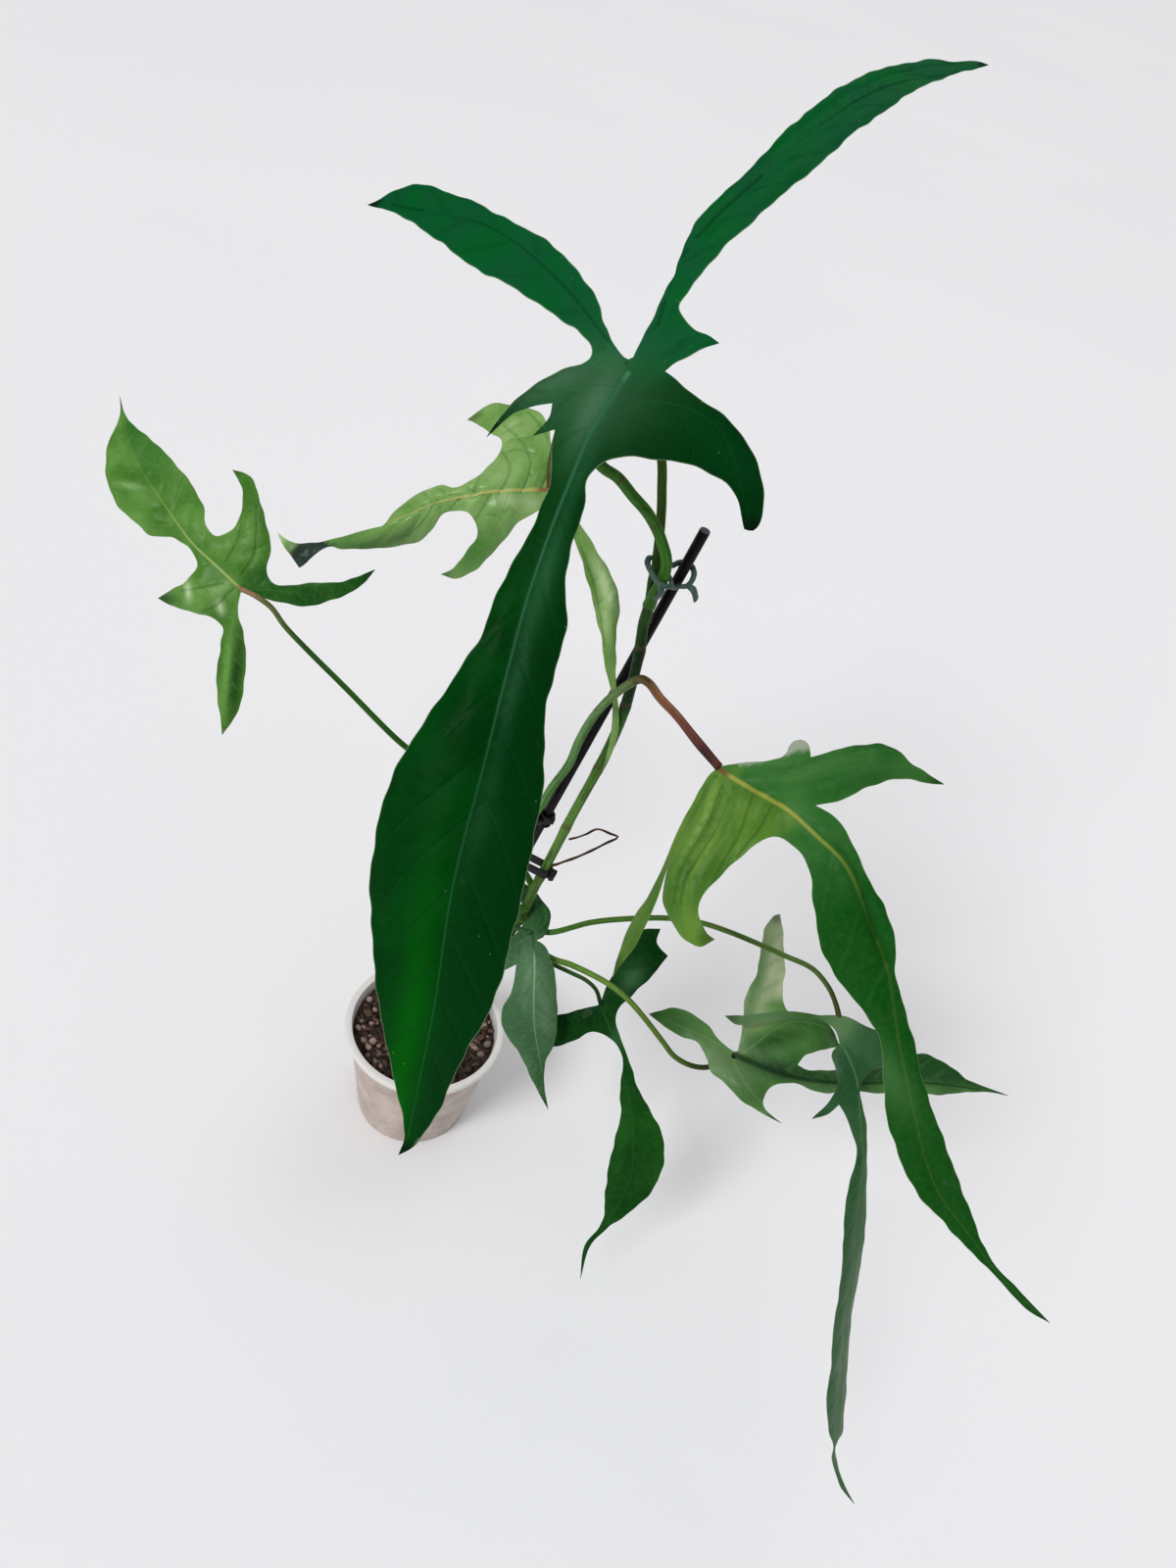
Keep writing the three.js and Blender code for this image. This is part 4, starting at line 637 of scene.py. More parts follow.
def rod(points, radius, sides, step, closed=False, flat=None):
    """A part along a smooth curve.

    radius is a function of the share of the length, and so is flat, which squeezes it one way."""
    line = smooth(points, step, closed, least=3)
    first, second = frames_along(line, closed)
    count = len(line)
    share = np.arange(count) / (count - (0 if closed else 1))
    size = radius(share)
    squeeze = flat(share) if flat else np.ones(count)
    angle = circle(sides)
    one = first[:, None] * (np.cos(angle)[None, :, None] * size[:, None, None])
    two = second[:, None] * (np.sin(angle)[None, :, None] * (size * squeeze)[:, None, None])
    rings = line[:, None] + one + two
    faces = ring_faces(count, sides, closed)
    if not closed:
        faces.append(tuple(range(sides - 1, -1, -1)))
        faces.append(tuple((count - 1) * sides + k for k in range(sides)))
    round_at = np.zeros((count, sides, 3))
    round_at[..., 0] = np.cos(angle)
    round_at[..., 1] = np.sin(angle)
    round_at[..., 2] = (share * length_of(line))[:, None]
    values = {"round_at": round_at.reshape(-1, 3), "share": np.repeat(share, sides)}
    return rings.reshape(-1, 3), faces, values


def merge(*parts):
    """One part from several."""
    points, faces, values = [], [], {}
    for p, f, v in parts:
        base = sum(map(len, points))
        faces += [tuple(i + base for i in face) for face in f]
        points.append(p)
        for key, data in v.items():
            values.setdefault(key, []).append(data)
    return np.vstack(points), faces, {k: np.concatenate(v) for k, v in values.items()}


def along_stops(stops, share):
    """Colour along a rod, from pairs of a share of its length and a colour."""
    places = [place for place, _ in stops]
    colours = np.array([rgb(colour)[:3] for _, colour in stops])
    return np.stack([np.interp(share, places, column) for column in colours.T], axis=1)


# Shaders


class Nodes:
    """Adds shader nodes to a tree. Most calls give back the new node's output."""

    def __init__(self, tree):
        self.nodes, self.links = tree.nodes, tree.links

    def put(self, socket, value):
        if isinstance(value, bpy.types.NodeSocket):
            self.links.new(value, socket)
        else:
            socket.default_value = value

    def add(self, kind, **settings):
        node = self.nodes.new("ShaderNode" + kind)
        for key, value in settings.items():
            setattr(node, key, value)
        return node

    def step(self, value, low, high, to_low=0.0, to_high=1.0):
        """Smoothly from to_low to to_high as the value goes from low to high."""
        node = self.add("MapRange", interpolation_type="SMOOTHSTEP")
        for socket, number in zip(node.inputs, (value, low, high, to_low, to_high)):
            self.put(socket, number)
        return node.outputs[0]


class Paint(Nodes):
    """A material in the making."""

    def __init__(self, name):
        self.material = bpy.data.materials.new(name)
        self.material.use_nodes = True
        super().__init__(self.material.node_tree)
        self.shader = self.nodes["Principled BSDF"]

    def value(self, name, output="Fac"):
        return self.add("Attribute", attribute_name=name).outputs[output]

    def calc(self, what, *inputs):
        """A Math node: what is its operation."""
        node = self.add("Math", operation=what)
        for socket, value in zip(node.inputs, inputs):
            self.put(socket, value)
        return node.outputs[0]

    def times(self, one, other):
        return self.calc("MULTIPLY", one, other)

    def mix(self, share, one, other, blend="MIX"):
        """Mixes two colours, each an output, four numbers or a screen colour."""
        node = self.add("Mix", data_type="RGBA", blend_type=blend)
        self.put(node.inputs[0], share)
        for socket, colour in zip(node.inputs[6:8], (one, other)):
            self.put(socket, rgb(colour) if isinstance(colour, int) else colour)
        return node.outputs[2]

    def scaled(self, vector, factors):
        node = self.add("VectorMath", operation="MULTIPLY")
        self.put(node.inputs[0], vector)
        node.inputs[1].default_value = factors
        return node.outputs[0]

    def noise(self, vector, scale, detail=3.0, rough=0.5):
        node = self.add("TexNoise")
        self.put(node.inputs["Vector"], vector)
        node.inputs["Scale"].default_value = scale
        node.inputs["Detail"].default_value = detail
        node.inputs["Roughness"].default_value = rough
        return node.outputs[0]

    def cells(self, vector, scale):
        node = self.add("TexVoronoi")
        self.put(node.inputs["Vector"], vector)
        node.inputs["Scale"].default_value = scale
        return node

    def place(self):
        return self.add("TexCoord").outputs["Object"]

    def finish(self, colour, roughness, height=None, depth=1.0, shine=0.5):
        """Joins everything to the shader. The height is in units of depth millimetres."""
        self.put(self.shader.inputs["Base Color"], colour)
        self.put(self.shader.inputs["Roughness"], roughness)
        if height is not None:
            bump = self.add("Bump")
            bump.inputs["Strength"].default_value = 1
            bump.inputs["Distance"].default_value = depth * MM
            self.put(bump.inputs["Height"], height)
            self.put(self.shader.inputs["Normal"], bump.outputs[0])
        self.shader.inputs["Specular IOR Level"].default_value = shine
        return self.material


# Blades


def thin_plate(pins):
    """Bends a flat drawing smoothly through pins: flat u and v, then x, y and z."""
    pins = np.array(pins, float)
    knots = pins[:, :2]

    def spread(uv):
        square = ((uv[:, None] - knots[None]) ** 2).sum(2)
        bend = np.where(square > 1e-9, square * np.log(np.maximum(square, 1e-9)), 0)
        return np.hstack([bend, np.ones((len(uv), 1)), uv])

    sides = np.hstack([spread(knots)[:, len(knots) :].T, np.zeros((3, 3))])
    weight = np.linalg.solve(
        np.vstack([spread(knots), sides]), np.vstack([pins[:, 2:], np.zeros((3, 3))])
    )
    return lambda uv: spread(uv) @ weight


def outline_of(leaf):
    """The closed outline, anticlockwise. Each stretch ends in a corner, where the next begins."""
    stretches = list(leaf["outline"].values())
    loop = []
    for i, stretch in enumerate(stretches):
        loop.extend(smooth([stretches[i - 1][-1], *stretch], RIM_STEP)[1:])
    loop = np.array(loop)
    after = np.roll(loop, -1, 0)
    area = (loop[:, 0] * after[:, 1] - after[:, 0] * loop[:, 1]).sum()
    along = unit(after - np.roll(loop, 1, 0))
    run = np.arange(len(loop)) * RIM_STEP
    wavy = sum(tall * np.sin(run / size + lag) for tall, size, lag in WOBBLE)
    ends = np.array([stretch[-1] for stretch in stretches])
    wavy *= rise(to_nearest(loop, ends), 3, 14)
    # a margin that runs close beside another part of the outline stays straight
    steps = abs(np.subtract.outer(np.arange(len(loop)), np.arange(len(loop))))
    steps = np.minimum(steps, len(loop) - steps)
    between = np.linalg.norm(loop[:, None] - loop[None], axis=2) + 99 * (steps < 6)
    wavy *= rise(between.min(1), 3, 8)
    loop += np.stack([-along[:, 1], along[:, 0]], axis=1) * wavy[:, None]
    return loop if area > 0 else loop[::-1]


def within(loop, uv):
    """Which points lie inside a closed outline."""
    u, v = uv[:, :1], uv[:, 1:]
    before = np.roll(loop, 1, 0)
    crosses = (loop[:, 1] > v) != (before[:, 1] > v)
    fall = np.where(before[:, 1] == loop[:, 1], 1, before[:, 1] - loop[:, 1])
    at = (before[:, 0] - loop[:, 0]) * (v - loop[:, 1]) / fall + loop[:, 0]
    return (crosses & (u < at)).sum(1) % 2 == 1


def facing(points, planes, blur):
    """1 where a point is inside every line a u + b v + c > 0, and smooth across each line."""
    inside = [rise(points @ (a, b) + c, -blur, blur) for a, b, c in planes]
    return np.prod(inside, axis=0)


def paint_shade_highlight_tone(points, shade_highlight_tone_patches):
    """Soft patches of painted highlight, painted shade and some tone: each point's colour times its
    share, and the share they cover.
    """
    colour, shade_highlight_tone_cover = np.zeros((len(points), 3)), np.zeros(len(points))
    for u, v, long, wide, turn, tone, most in shade_highlight_tone_patches:
        c, s = math.cos(math.radians(turn)), math.sin(math.radians(turn))
        along, across = (points - (u, v)) @ (c, s), (points - (u, v)) @ (-s, c)
        share = most * np.exp(-((along / long) ** 2) - (across / wide) ** 2)
        colour = colour * (1 - share)[:, None] + share[:, None] * rgb(tone)[:3]
        shade_highlight_tone_cover = shade_highlight_tone_cover * (1 - share) + share
    return colour, shade_highlight_tone_cover


def thin_out(points, room):
    """Leaves out each point that is nearer than room to an earlier one."""
    kept = []
    for point in points:
        if not kept or np.min(((np.array(kept) - point) ** 2).sum(1)) > room**2:
            kept.append(point)
    return np.array(kept)


def flat_net(loop, ribs, inner_step):
    """The outline filled with points and triangles. The outline's points come first."""
    rim = np.vstack([loop, loop[:1]])
    on_ribs = np.vstack([smooth(rib, RIB_STEP) for rib in ribs])
    on_ribs = on_ribs[within(loop, on_ribs)]
    on_ribs = thin_out(on_ribs[nearest(rim, on_ribs)[0] > ROOM["rim"]], ROOM["ribs"])
    low, high = loop.min(0), loop.max(0)
    rows = np.arange(low[1], high[1], inner_step * ROW_GAP)
    grid = [
        (u + (i % 2) * inner_step / 2, v)
        for i, v in enumerate(rows)
        for u in np.arange(low[0], high[0], inner_step)
    ]
    grid = np.array(grid)
    grid = grid[within(loop, grid)]
    grid = grid[nearest(rim, grid)[0] > inner_step * 0.5]
    far = np.min([((grid - p) ** 2).sum(1) for p in on_ribs], axis=0) > (0.6 * inner_step) ** 2
    points = np.vstack([loop, on_ribs, grid[far]])
    return points, filled(points, loop_edges(0, len(loop)))


def raised(plate, points, height):
    """Points of the bent sheet, each moved by its height square to the sheet."""
    middle = plate(points)
    along_u = plate(points + (PROBE, 0)) - middle
    along_v = plate(points + (0, PROBE)) - middle
    return middle + unit(np.cross(along_u, along_v)) * height[:, None]


def facing_up(points, middle, faces):
    """The faces turned the same way as in the flat drawing, and the bent sheet's normals."""
    tri = np.array(faces)
    one, two = points[tri[:, 1]] - points[tri[:, 0]], points[tri[:, 2]] - points[tri[:, 0]]
    wrong = one[:, 0] * two[:, 1] < one[:, 1] * two[:, 0]
    tri[wrong] = tri[wrong][:, ::-1]
    out = np.cross(middle[tri[:, 1]] - middle[tri[:, 0]], middle[tri[:, 2]] - middle[tri[:, 0]])
    normal = np.zeros_like(middle)
    for k in range(3):
        np.add.at(normal, tri[:, k], out)
    return tri, unit(normal)


def sharpen_margin(piece, count, rim):
    """Keeps both edges of a blade's margin sharp: count points on each face, rim at the margin."""
    ends = np.zeros(len(piece.data.edges) * 2, int)
    piece.data.edges.foreach_get("vertices", ends)
    ends = ends.reshape(-1, 2)
    one_side = (ends < count).all(1) | (ends >= count).all(1)
    level = ends % count
    apart = abs(level[:, 0] - level[:, 1])
    on_rim = (level < rim).all(1) & one_side & ((apart == 1) | (apart == rim - 1))
    sharp = piece.data.attributes.new("sharp_edge", "BOOLEAN", "EDGE")
    sharp.data.foreach_set("value", on_rim)


def blade(letter, leaf, look, material):
    """One leaf's blade: a thin bent sheet with its relief, and values that its skin is drawn from."""
    loop = outline_of(leaf)
    creases = [smooth(line, 2) for line in look["creases"]]
    points, faces = flat_net(loop, [*leaf["ribs"].values(), *look["creases"]], look["step"])
    lines = [smooth(rib, 3) for rib in leaf["ribs"].values()]
    plate = thin_plate(leaf["pins"])
    names = list(leaf["ribs"])
    wave = leaf["wave"]

    def lift(uv):
        """How far the plate sinks along its midrib and waves towards its margin."""
        to_ribs = np.array([nearest(line, uv)[0] for line in lines])
        main, _, side = nearest(lines[0], uv)
        sunk = -leaf["groove"] * bell(main, GROOVE_WIDTH)
        lag = wave["lag"] * rise(side, -8, 8)
        ripple = np.sin(2 * math.pi * uv[:, 1] / wave["length"] + lag)
        outward = np.minimum(1, to_ribs.min(0) / wave["reach"]) ** 2
        return sunk + wave["height"] * ripple * outward

    gaps, runs, sides = zip(*(nearest(line, points) for line in lines))
    gaps, runs, sides = np.array(gaps), np.array(runs), np.array(sides)
    lengths = np.array([length_of(line) for line in lines])
    order = gaps.argsort(0)
    row = np.arange(len(points))
    gap, run, side = gaps[order[0], row], runs[order[0], row], sides[order[0], row]
    length = lengths[order[0]]
    second = gaps[order[1], row]
    edge = nearest(np.vstack([loop, loop[:1]]), points)[0]
    edge[: len(loop)] = 0

    # veins leave a rib at a slant and bend on towards its tip
    veins = look["veins"]
    start = run - veins["lean"] * gap - veins["curl"] * gap**2
    wander = np.sin(points[:, 0] / 31 + points[:, 1] / 47) + np.sin(points[:, 1] / 19 + 2)
    phase = start / veins["apart"] + 0.06 * wander + 0.5 * (side > 0) * rise(gap, 0, 3)
    clear = rise(second - gap, 2, 9) * rise(gap, 0.5, 3) * rise(edge, 0, 5)
    main = order[0] == 0
    shares = runs / lengths[:, None]
    widths = look["rib_width"] * (1 - 0.8 * shares**0.5)
    widths[1:] *= 0.5
    rib_lines = gaps / widths
    width = widths[order[0], row]

    # areas whose colour differs: some lobes; one half, darker as painted shade; a face turned over, on
    # leaf b darker as painted shade; soft patches of painted highlight, painted shade and tone
    other = np.isin(names, look["pale_ribs"])
    pale = np.zeros(len(points))
    if other.any():
        apart = gaps[~other].min(0) - gaps[other].min(0)
        pale = rise(apart, -look["pale_blend"], look["pale_blend"])
    if look["pale_area"]:
        beyond = 1 - rise(sides[0], -2, 1)
        pale = np.maximum(pale, facing(points, look["pale_area"], 5) * beyond)
    # one half drawn in another green; where darker it is painted shade on the far side of the blade's
    # fold
    on_half = rise(points[:, 1], *look["half_from"])
    if look["half_side"]:
        on_half *= rise(look["half_side"] * sides[0], -2, 2)
    shade_highlight_tone, shade_highlight_tone_cover = paint_shade_highlight_tone(points, look["shade_highlight_tone_patches"])
    turned = np.zeros(len(points))
    if look["turned"]:
        turned = facing(points, look["turned"], 1)
    crease_gap = np.full(len(points), 20.0)
    for line in creases:
        crease_gap = np.minimum(crease_gap, nearest(line, points)[0])

    # relief: quilting between the veins, pleats along some lobes, slow ripples, margins that drop
    quilt = abs(np.sin(math.pi * phase)) ** 0.7 * np.exp(-gap / look["quilt_reach"])
    relief = look["quilt"] * quilt * clear
    for name, (height, pitch) in look["pleats"].items():
        here = order[0] == names.index(name)
        wave_across = np.sin(2 * math.pi * sides[names.index(name)] / pitch)
        relief = relief + height * here * wave_across * rise(second - gap, 0, 8) * rise(run, 4, 20)
    seed = ord(letter)
    for size, tall in RIPPLES:
        swing = np.sin(points @ (6.28 / size, 2.9 / size) + seed)
        swing = swing + np.sin(points @ (-3.7 / size, 5.6 / size) + 2 * seed)
        relief = relief + look["ripple"] * tall * 0.5 * swing * rise(gap, 2, 14)
    relief = relief - look["droop"] * (1 - rise(edge, 0, 11)) * rise(gap, 2, 10)
    relief = relief - look["crease_deep"] * bell(crease_gap, CREASE_WIDTH) * rise(edge, 0, 6)

    middle = raised(plate, points, lift(points) + relief)
    tri, normal = facing_up(points, middle, faces)
    thick = MARGIN_HALF + (BLADE_HALF - MARGIN_HALF) * rise(edge, 0, 2)
    keel = look["keel"] * bell(gap, width) * (1 - 0.8 * run / length) * rise(edge, 0, 3)
    keel *= np.where(main, 1, 0.5)
    upper = middle + normal * thick[:, None]
    under = middle - normal * (thick + keel)[:, None]
    count, rim = len(points), len(loop)
    faces = tri.tolist() + (tri[:, ::-1] + count).tolist()
    for i in range(rim):
        j = (i + 1) % rim
        faces.append((i, i + count, j + count, j))
    none = np.zeros(count)
    tips = [line[-1] for line in lines]
    corners = [stretch[-1] for stretch in leaf["outline"].values()]
    values = {
        "flat": np.c_[points, none], "mid_line": rib_lines[0], "rib_line": rib_lines[1:].min(0),
        "mid_run": runs[0], "vein": phase, "clear": clear, "edge": edge, "pale": pale,
        "lit_stripe": rise(points[:, 1], *look["lit_stripe"]) * bell(sides[0] + LIT_STRIPE["off"], LIT_STRIPE["width"]),
        "half": on_half, "gap": gap, "shade_highlight_tone_cover": shade_highlight_tone_cover, "shade_highlight_tone": shade_highlight_tone, "crease": crease_gap,
        "to_tip": to_nearest(points, tips), "to_corner": to_nearest(points, corners),
    }
    values = {key: np.concatenate([data, data]) for key, data in values.items()}
    values["under"] = np.r_[none, none + 1]
    values["turned"] = np.r_[turned, none]
    part = np.vstack([upper, under]), faces, values
    piece = solid(f"leaf_{letter}", part, [f"blade_{letter}"], material)
    sharpen_margin(piece, count, rim)


def leaf_material(name, look):
    """Green skin with ribs, slanting veins, fine stripes between them, specks and a thin margin, with
    painted light: patches of painted highlight and shade, a painted highlight beside the midrib, a half
    and creases darkened as painted shade, and painted shade beside the sunk veins.
    """
    p = Paint(name)
    flat = p.value("flat", "Vector")
    mid_run, crease = p.value("mid_run"), p.value("crease")
    vein, clear, edge = p.value("vein"), p.value("clear"), p.value("edge")
    under, pale, lit_stripe = p.value("under"), p.value("pale"), p.value("lit_stripe")
    cloud = p.noise(flat, 0.03, 4)
    mottle = p.noise(flat, 0.3, 4, 0.65)

    colour = p.mix(p.step(cloud, 0.32, 0.68), look["deep"], look["light"])
    # one half of the blade in another green; where darker it is painted shade on the far side of its fold
    colour = p.mix(p.times(p.value("half"), look["half_show"]), colour, look["half"])
    lobe = p.mix(p.step(cloud, 0.35, 0.65), look["lobe"], look["lobe_other"])
    colour = p.mix(pale, colour, lobe)
    # a paler stripe beside the midrib, a painted highlight on the lit side of its fold
    colour = p.mix(p.times(lit_stripe, 0.8), colour, look["lit_stripe_colour"])
    # soft patches of painted highlight and painted shade, on some leaves also of their own tone
    colour = p.mix(p.value("shade_highlight_tone_cover"), colour, (0, 0, 0, 1))
    colour = p.mix(1.0, colour, p.value("shade_highlight_tone", "Color"), "ADD")
    dull = p.step(mottle, 0.4, 0.75, 0, look["mottle"])
    colour = p.mix(dull, colour, look["mottle_colour"])

    # a vein is where its number passes a whole one
    from_vein = p.calc("ABSOLUTE", p.calc("SUBTRACT", p.calc("FRACT", p.calc("ADD", vein, 0.5)), 0.5))
    apart = look["veins"]["apart"]
    line = p.times(p.step(from_vein, 0.15 / apart, 0.9 / apart, 1, 0), clear)
    beside = p.times(p.step(from_vein, 0.5 / apart, 4 / apart, 1, 0), clear)
    fine = p.calc("SINE", p.times(vein, 6.283 * round(apart / 1.7)))
    fine = p.times(fine, clear)
    fine = p.times(fine, p.step(cloud, 0.35, 0.65, 0.3, 1))
    # darker beside each vein, where the vein is sunk: painted shade
    colour = p.mix(p.times(beside, look["vein_groove_shade"]), colour, look["deep"])
    colour = p.mix(p.times(line, look["vein_show"]), colour, look["vein"])
    shade = p.calc("MULTIPLY_ADD", fine, look["fine_show"], 0.5)
    stripes = p.mix(shade, (0.3, 0.3, 0.3, 1), (0.7, 0.7, 0.7, 1))
    colour = p.mix(0.5, colour, stripes, "SOFT_LIGHT")

    # the midrib is pale where it leaves the stalk and fades on its way; the lobes' ribs are faint
    fade = look["rib_fade"]
    shown = p.step(mid_run, 0.3 * fade, fade, look["rib_show"], look["rib_far"])
    ridge = p.times(p.step(p.value("mid_line"), 0.3, 1.0, 1, 0), shown)
    at_base = p.step(mid_run, 0.4 * look["red_run"], look["red_run"], 1, 0)
    rib_colour = p.mix(at_base, look["rib"], look["base"])
    side_ridge = p.step(p.value("rib_line"), 0.3, 1.0, look["rib_side"], 0)
    # creases drawn darker: painted shade in the folds
    fold = p.step(crease, 0, 1.3, 1, 0)
    colour = p.mix(side_ridge, colour, look["side_rib"])
    colour = p.mix(p.times(fold, look["crease_shade_show"]), colour, look["crease"])
    colour = p.mix(ridge, colour, rib_colour)

    # tiny pale pores and a few dark spots
    dots = p.cells(flat, 0.16)
    pick = p.add("SeparateColor")
    p.put(pick.inputs[0], dots.outputs["Color"])
    small = p.step(dots.outputs["Distance"], 0.03, 0.08, 1, 0)
    pores = p.times(small, p.step(pick.outputs[0], 0.86, 0.88))
    colour = p.mix(p.times(pores, look["pores"]), colour, 0xB9CBA6)
    spots = p.times(small, p.step(pick.outputs[1], 0.94, 0.96))
    colour = p.mix(p.times(spots, look["spots"]), colour, 0x10200D)

    below = p.mix(p.step(cloud, 0.35, 0.65), look["under"], look["under_light"])
    below = p.mix(p.step(p.value("mid_line"), 0.5, 1.2, 0.6, 0), below, look["under_rib"])
    colour = p.mix(under, colour, below)
    colour = p.mix(p.value("turned"), colour, look["turned_colour"])
    tip = p.step(p.value("to_tip"), 1, 9, look["tip_show"], 0)
    colour = p.mix(tip, colour, look["tip"])
    rim = p.step(edge, 0.1, look["margin_width"], look["margin_show"], 0)
    rim = p.times(rim, p.step(p.value("to_corner"), 4, 14))
    rim = p.times(rim, p.step(p.value("gap"), 2, 6))
    colour = p.mix(rim, colour, look["margin"])

    height = p.times(fine, look["fine_tall"])
    height = p.calc("SUBTRACT", height, p.times(beside, look["sunk"]))
    height = p.calc("ADD", height, p.times(mottle, 0.1))
    height = p.calc("ADD", height, p.times(ridge, 0.25))
    height = p.calc("SUBTRACT", height, p.times(fold, 0.3))
    height = p.calc("ADD", height, p.times(p.noise(flat, 0.09, 2), 0.5))
    rough = p.step(p.noise(flat, 0.06, 3), 0.3, 0.7, look["gloss"], look["gloss"] + 0.12)
    rough = p.mix(under, rough, (0.6, 0.6, 0.6, 1))
    return p.finish(colour, rough, height, 1.0, shine=look["shine"])


# How a leaf looks, where it doesn't say otherwise. Colours are screen colours. A patch is a soft spot of
# painted highlight or painted shade, on some leaves also of their own tone: its middle (u, v), its half
# length and half width, its turn in degrees, its colour and how much. The lit stripe beside the midrib is
# a painted highlight, and the half, where darker, is painted shade. "pleats" are folds along a lobe:
# height and spacing.
# "creases" are lines pressed into the sheet, and their colour is painted shade.
# "turned" and "pale_area" are bounded by lines (a, b, c): inside them a u + b v + c is above 0.
PLAIN = {
    "slot": "leaf_mid", "step": 3.6, "deep": 0x175018, "light": 0x226222, "lobe": 0x2E6A2A,
    "lobe_other": 0x3A7632, "lit_stripe_colour": 0x2A6630, "half": 0x175018, "half_side": 1, "half_show": 0,
    "half_from": (-90, -80), "mottle": 0.12, "mottle_colour": 0x5E8A52, "vein": 0x5E8A52,
    "vein_show": 0.15, "vein_groove_shade": 0.2, "fine_show": 0.1, "fine_tall": 0.012, "rib": 0x8FA860,
    "base": 0x8FA860, "rib_show": 0.8, "rib_far": 0.3, "rib_fade": 90, "rib_side": 0.3,
    "side_rib": 0x6A8E50, "rib_width": 1.7, "red_run": 6, "margin": 0xA9B08A, "margin_width": 0.5,
    "margin_show": 0.3, "under": 0x5C7F56, "under_light": 0x73936A, "under_rib": 0x86A072, "pores": 0.3,
    "spots": 0.5, "tip": 0x2E3A20, "tip_show": 0.5, "gloss": 0.34, "shine": 0.25, "sunk": 0.22,
    "keel": 1.2, "pale_ribs": [], "pale_blend": 8, "pale_area": [], "lit_stripe": (900, 901), "quilt": 0.25,
    "quilt_reach": 18, "pleats": {}, "ripple": 0.7, "droop": 1.3, "turned": [], "turned_colour": 0x5C7F56,
    "shade_highlight_tone_patches": [], "creases": [], "crease": 0x123812, "crease_shade_show": 0.3, "crease_deep": 0.9,
    "veins": {"apart": 22, "lean": 0.9, "curl": 0.01},
}
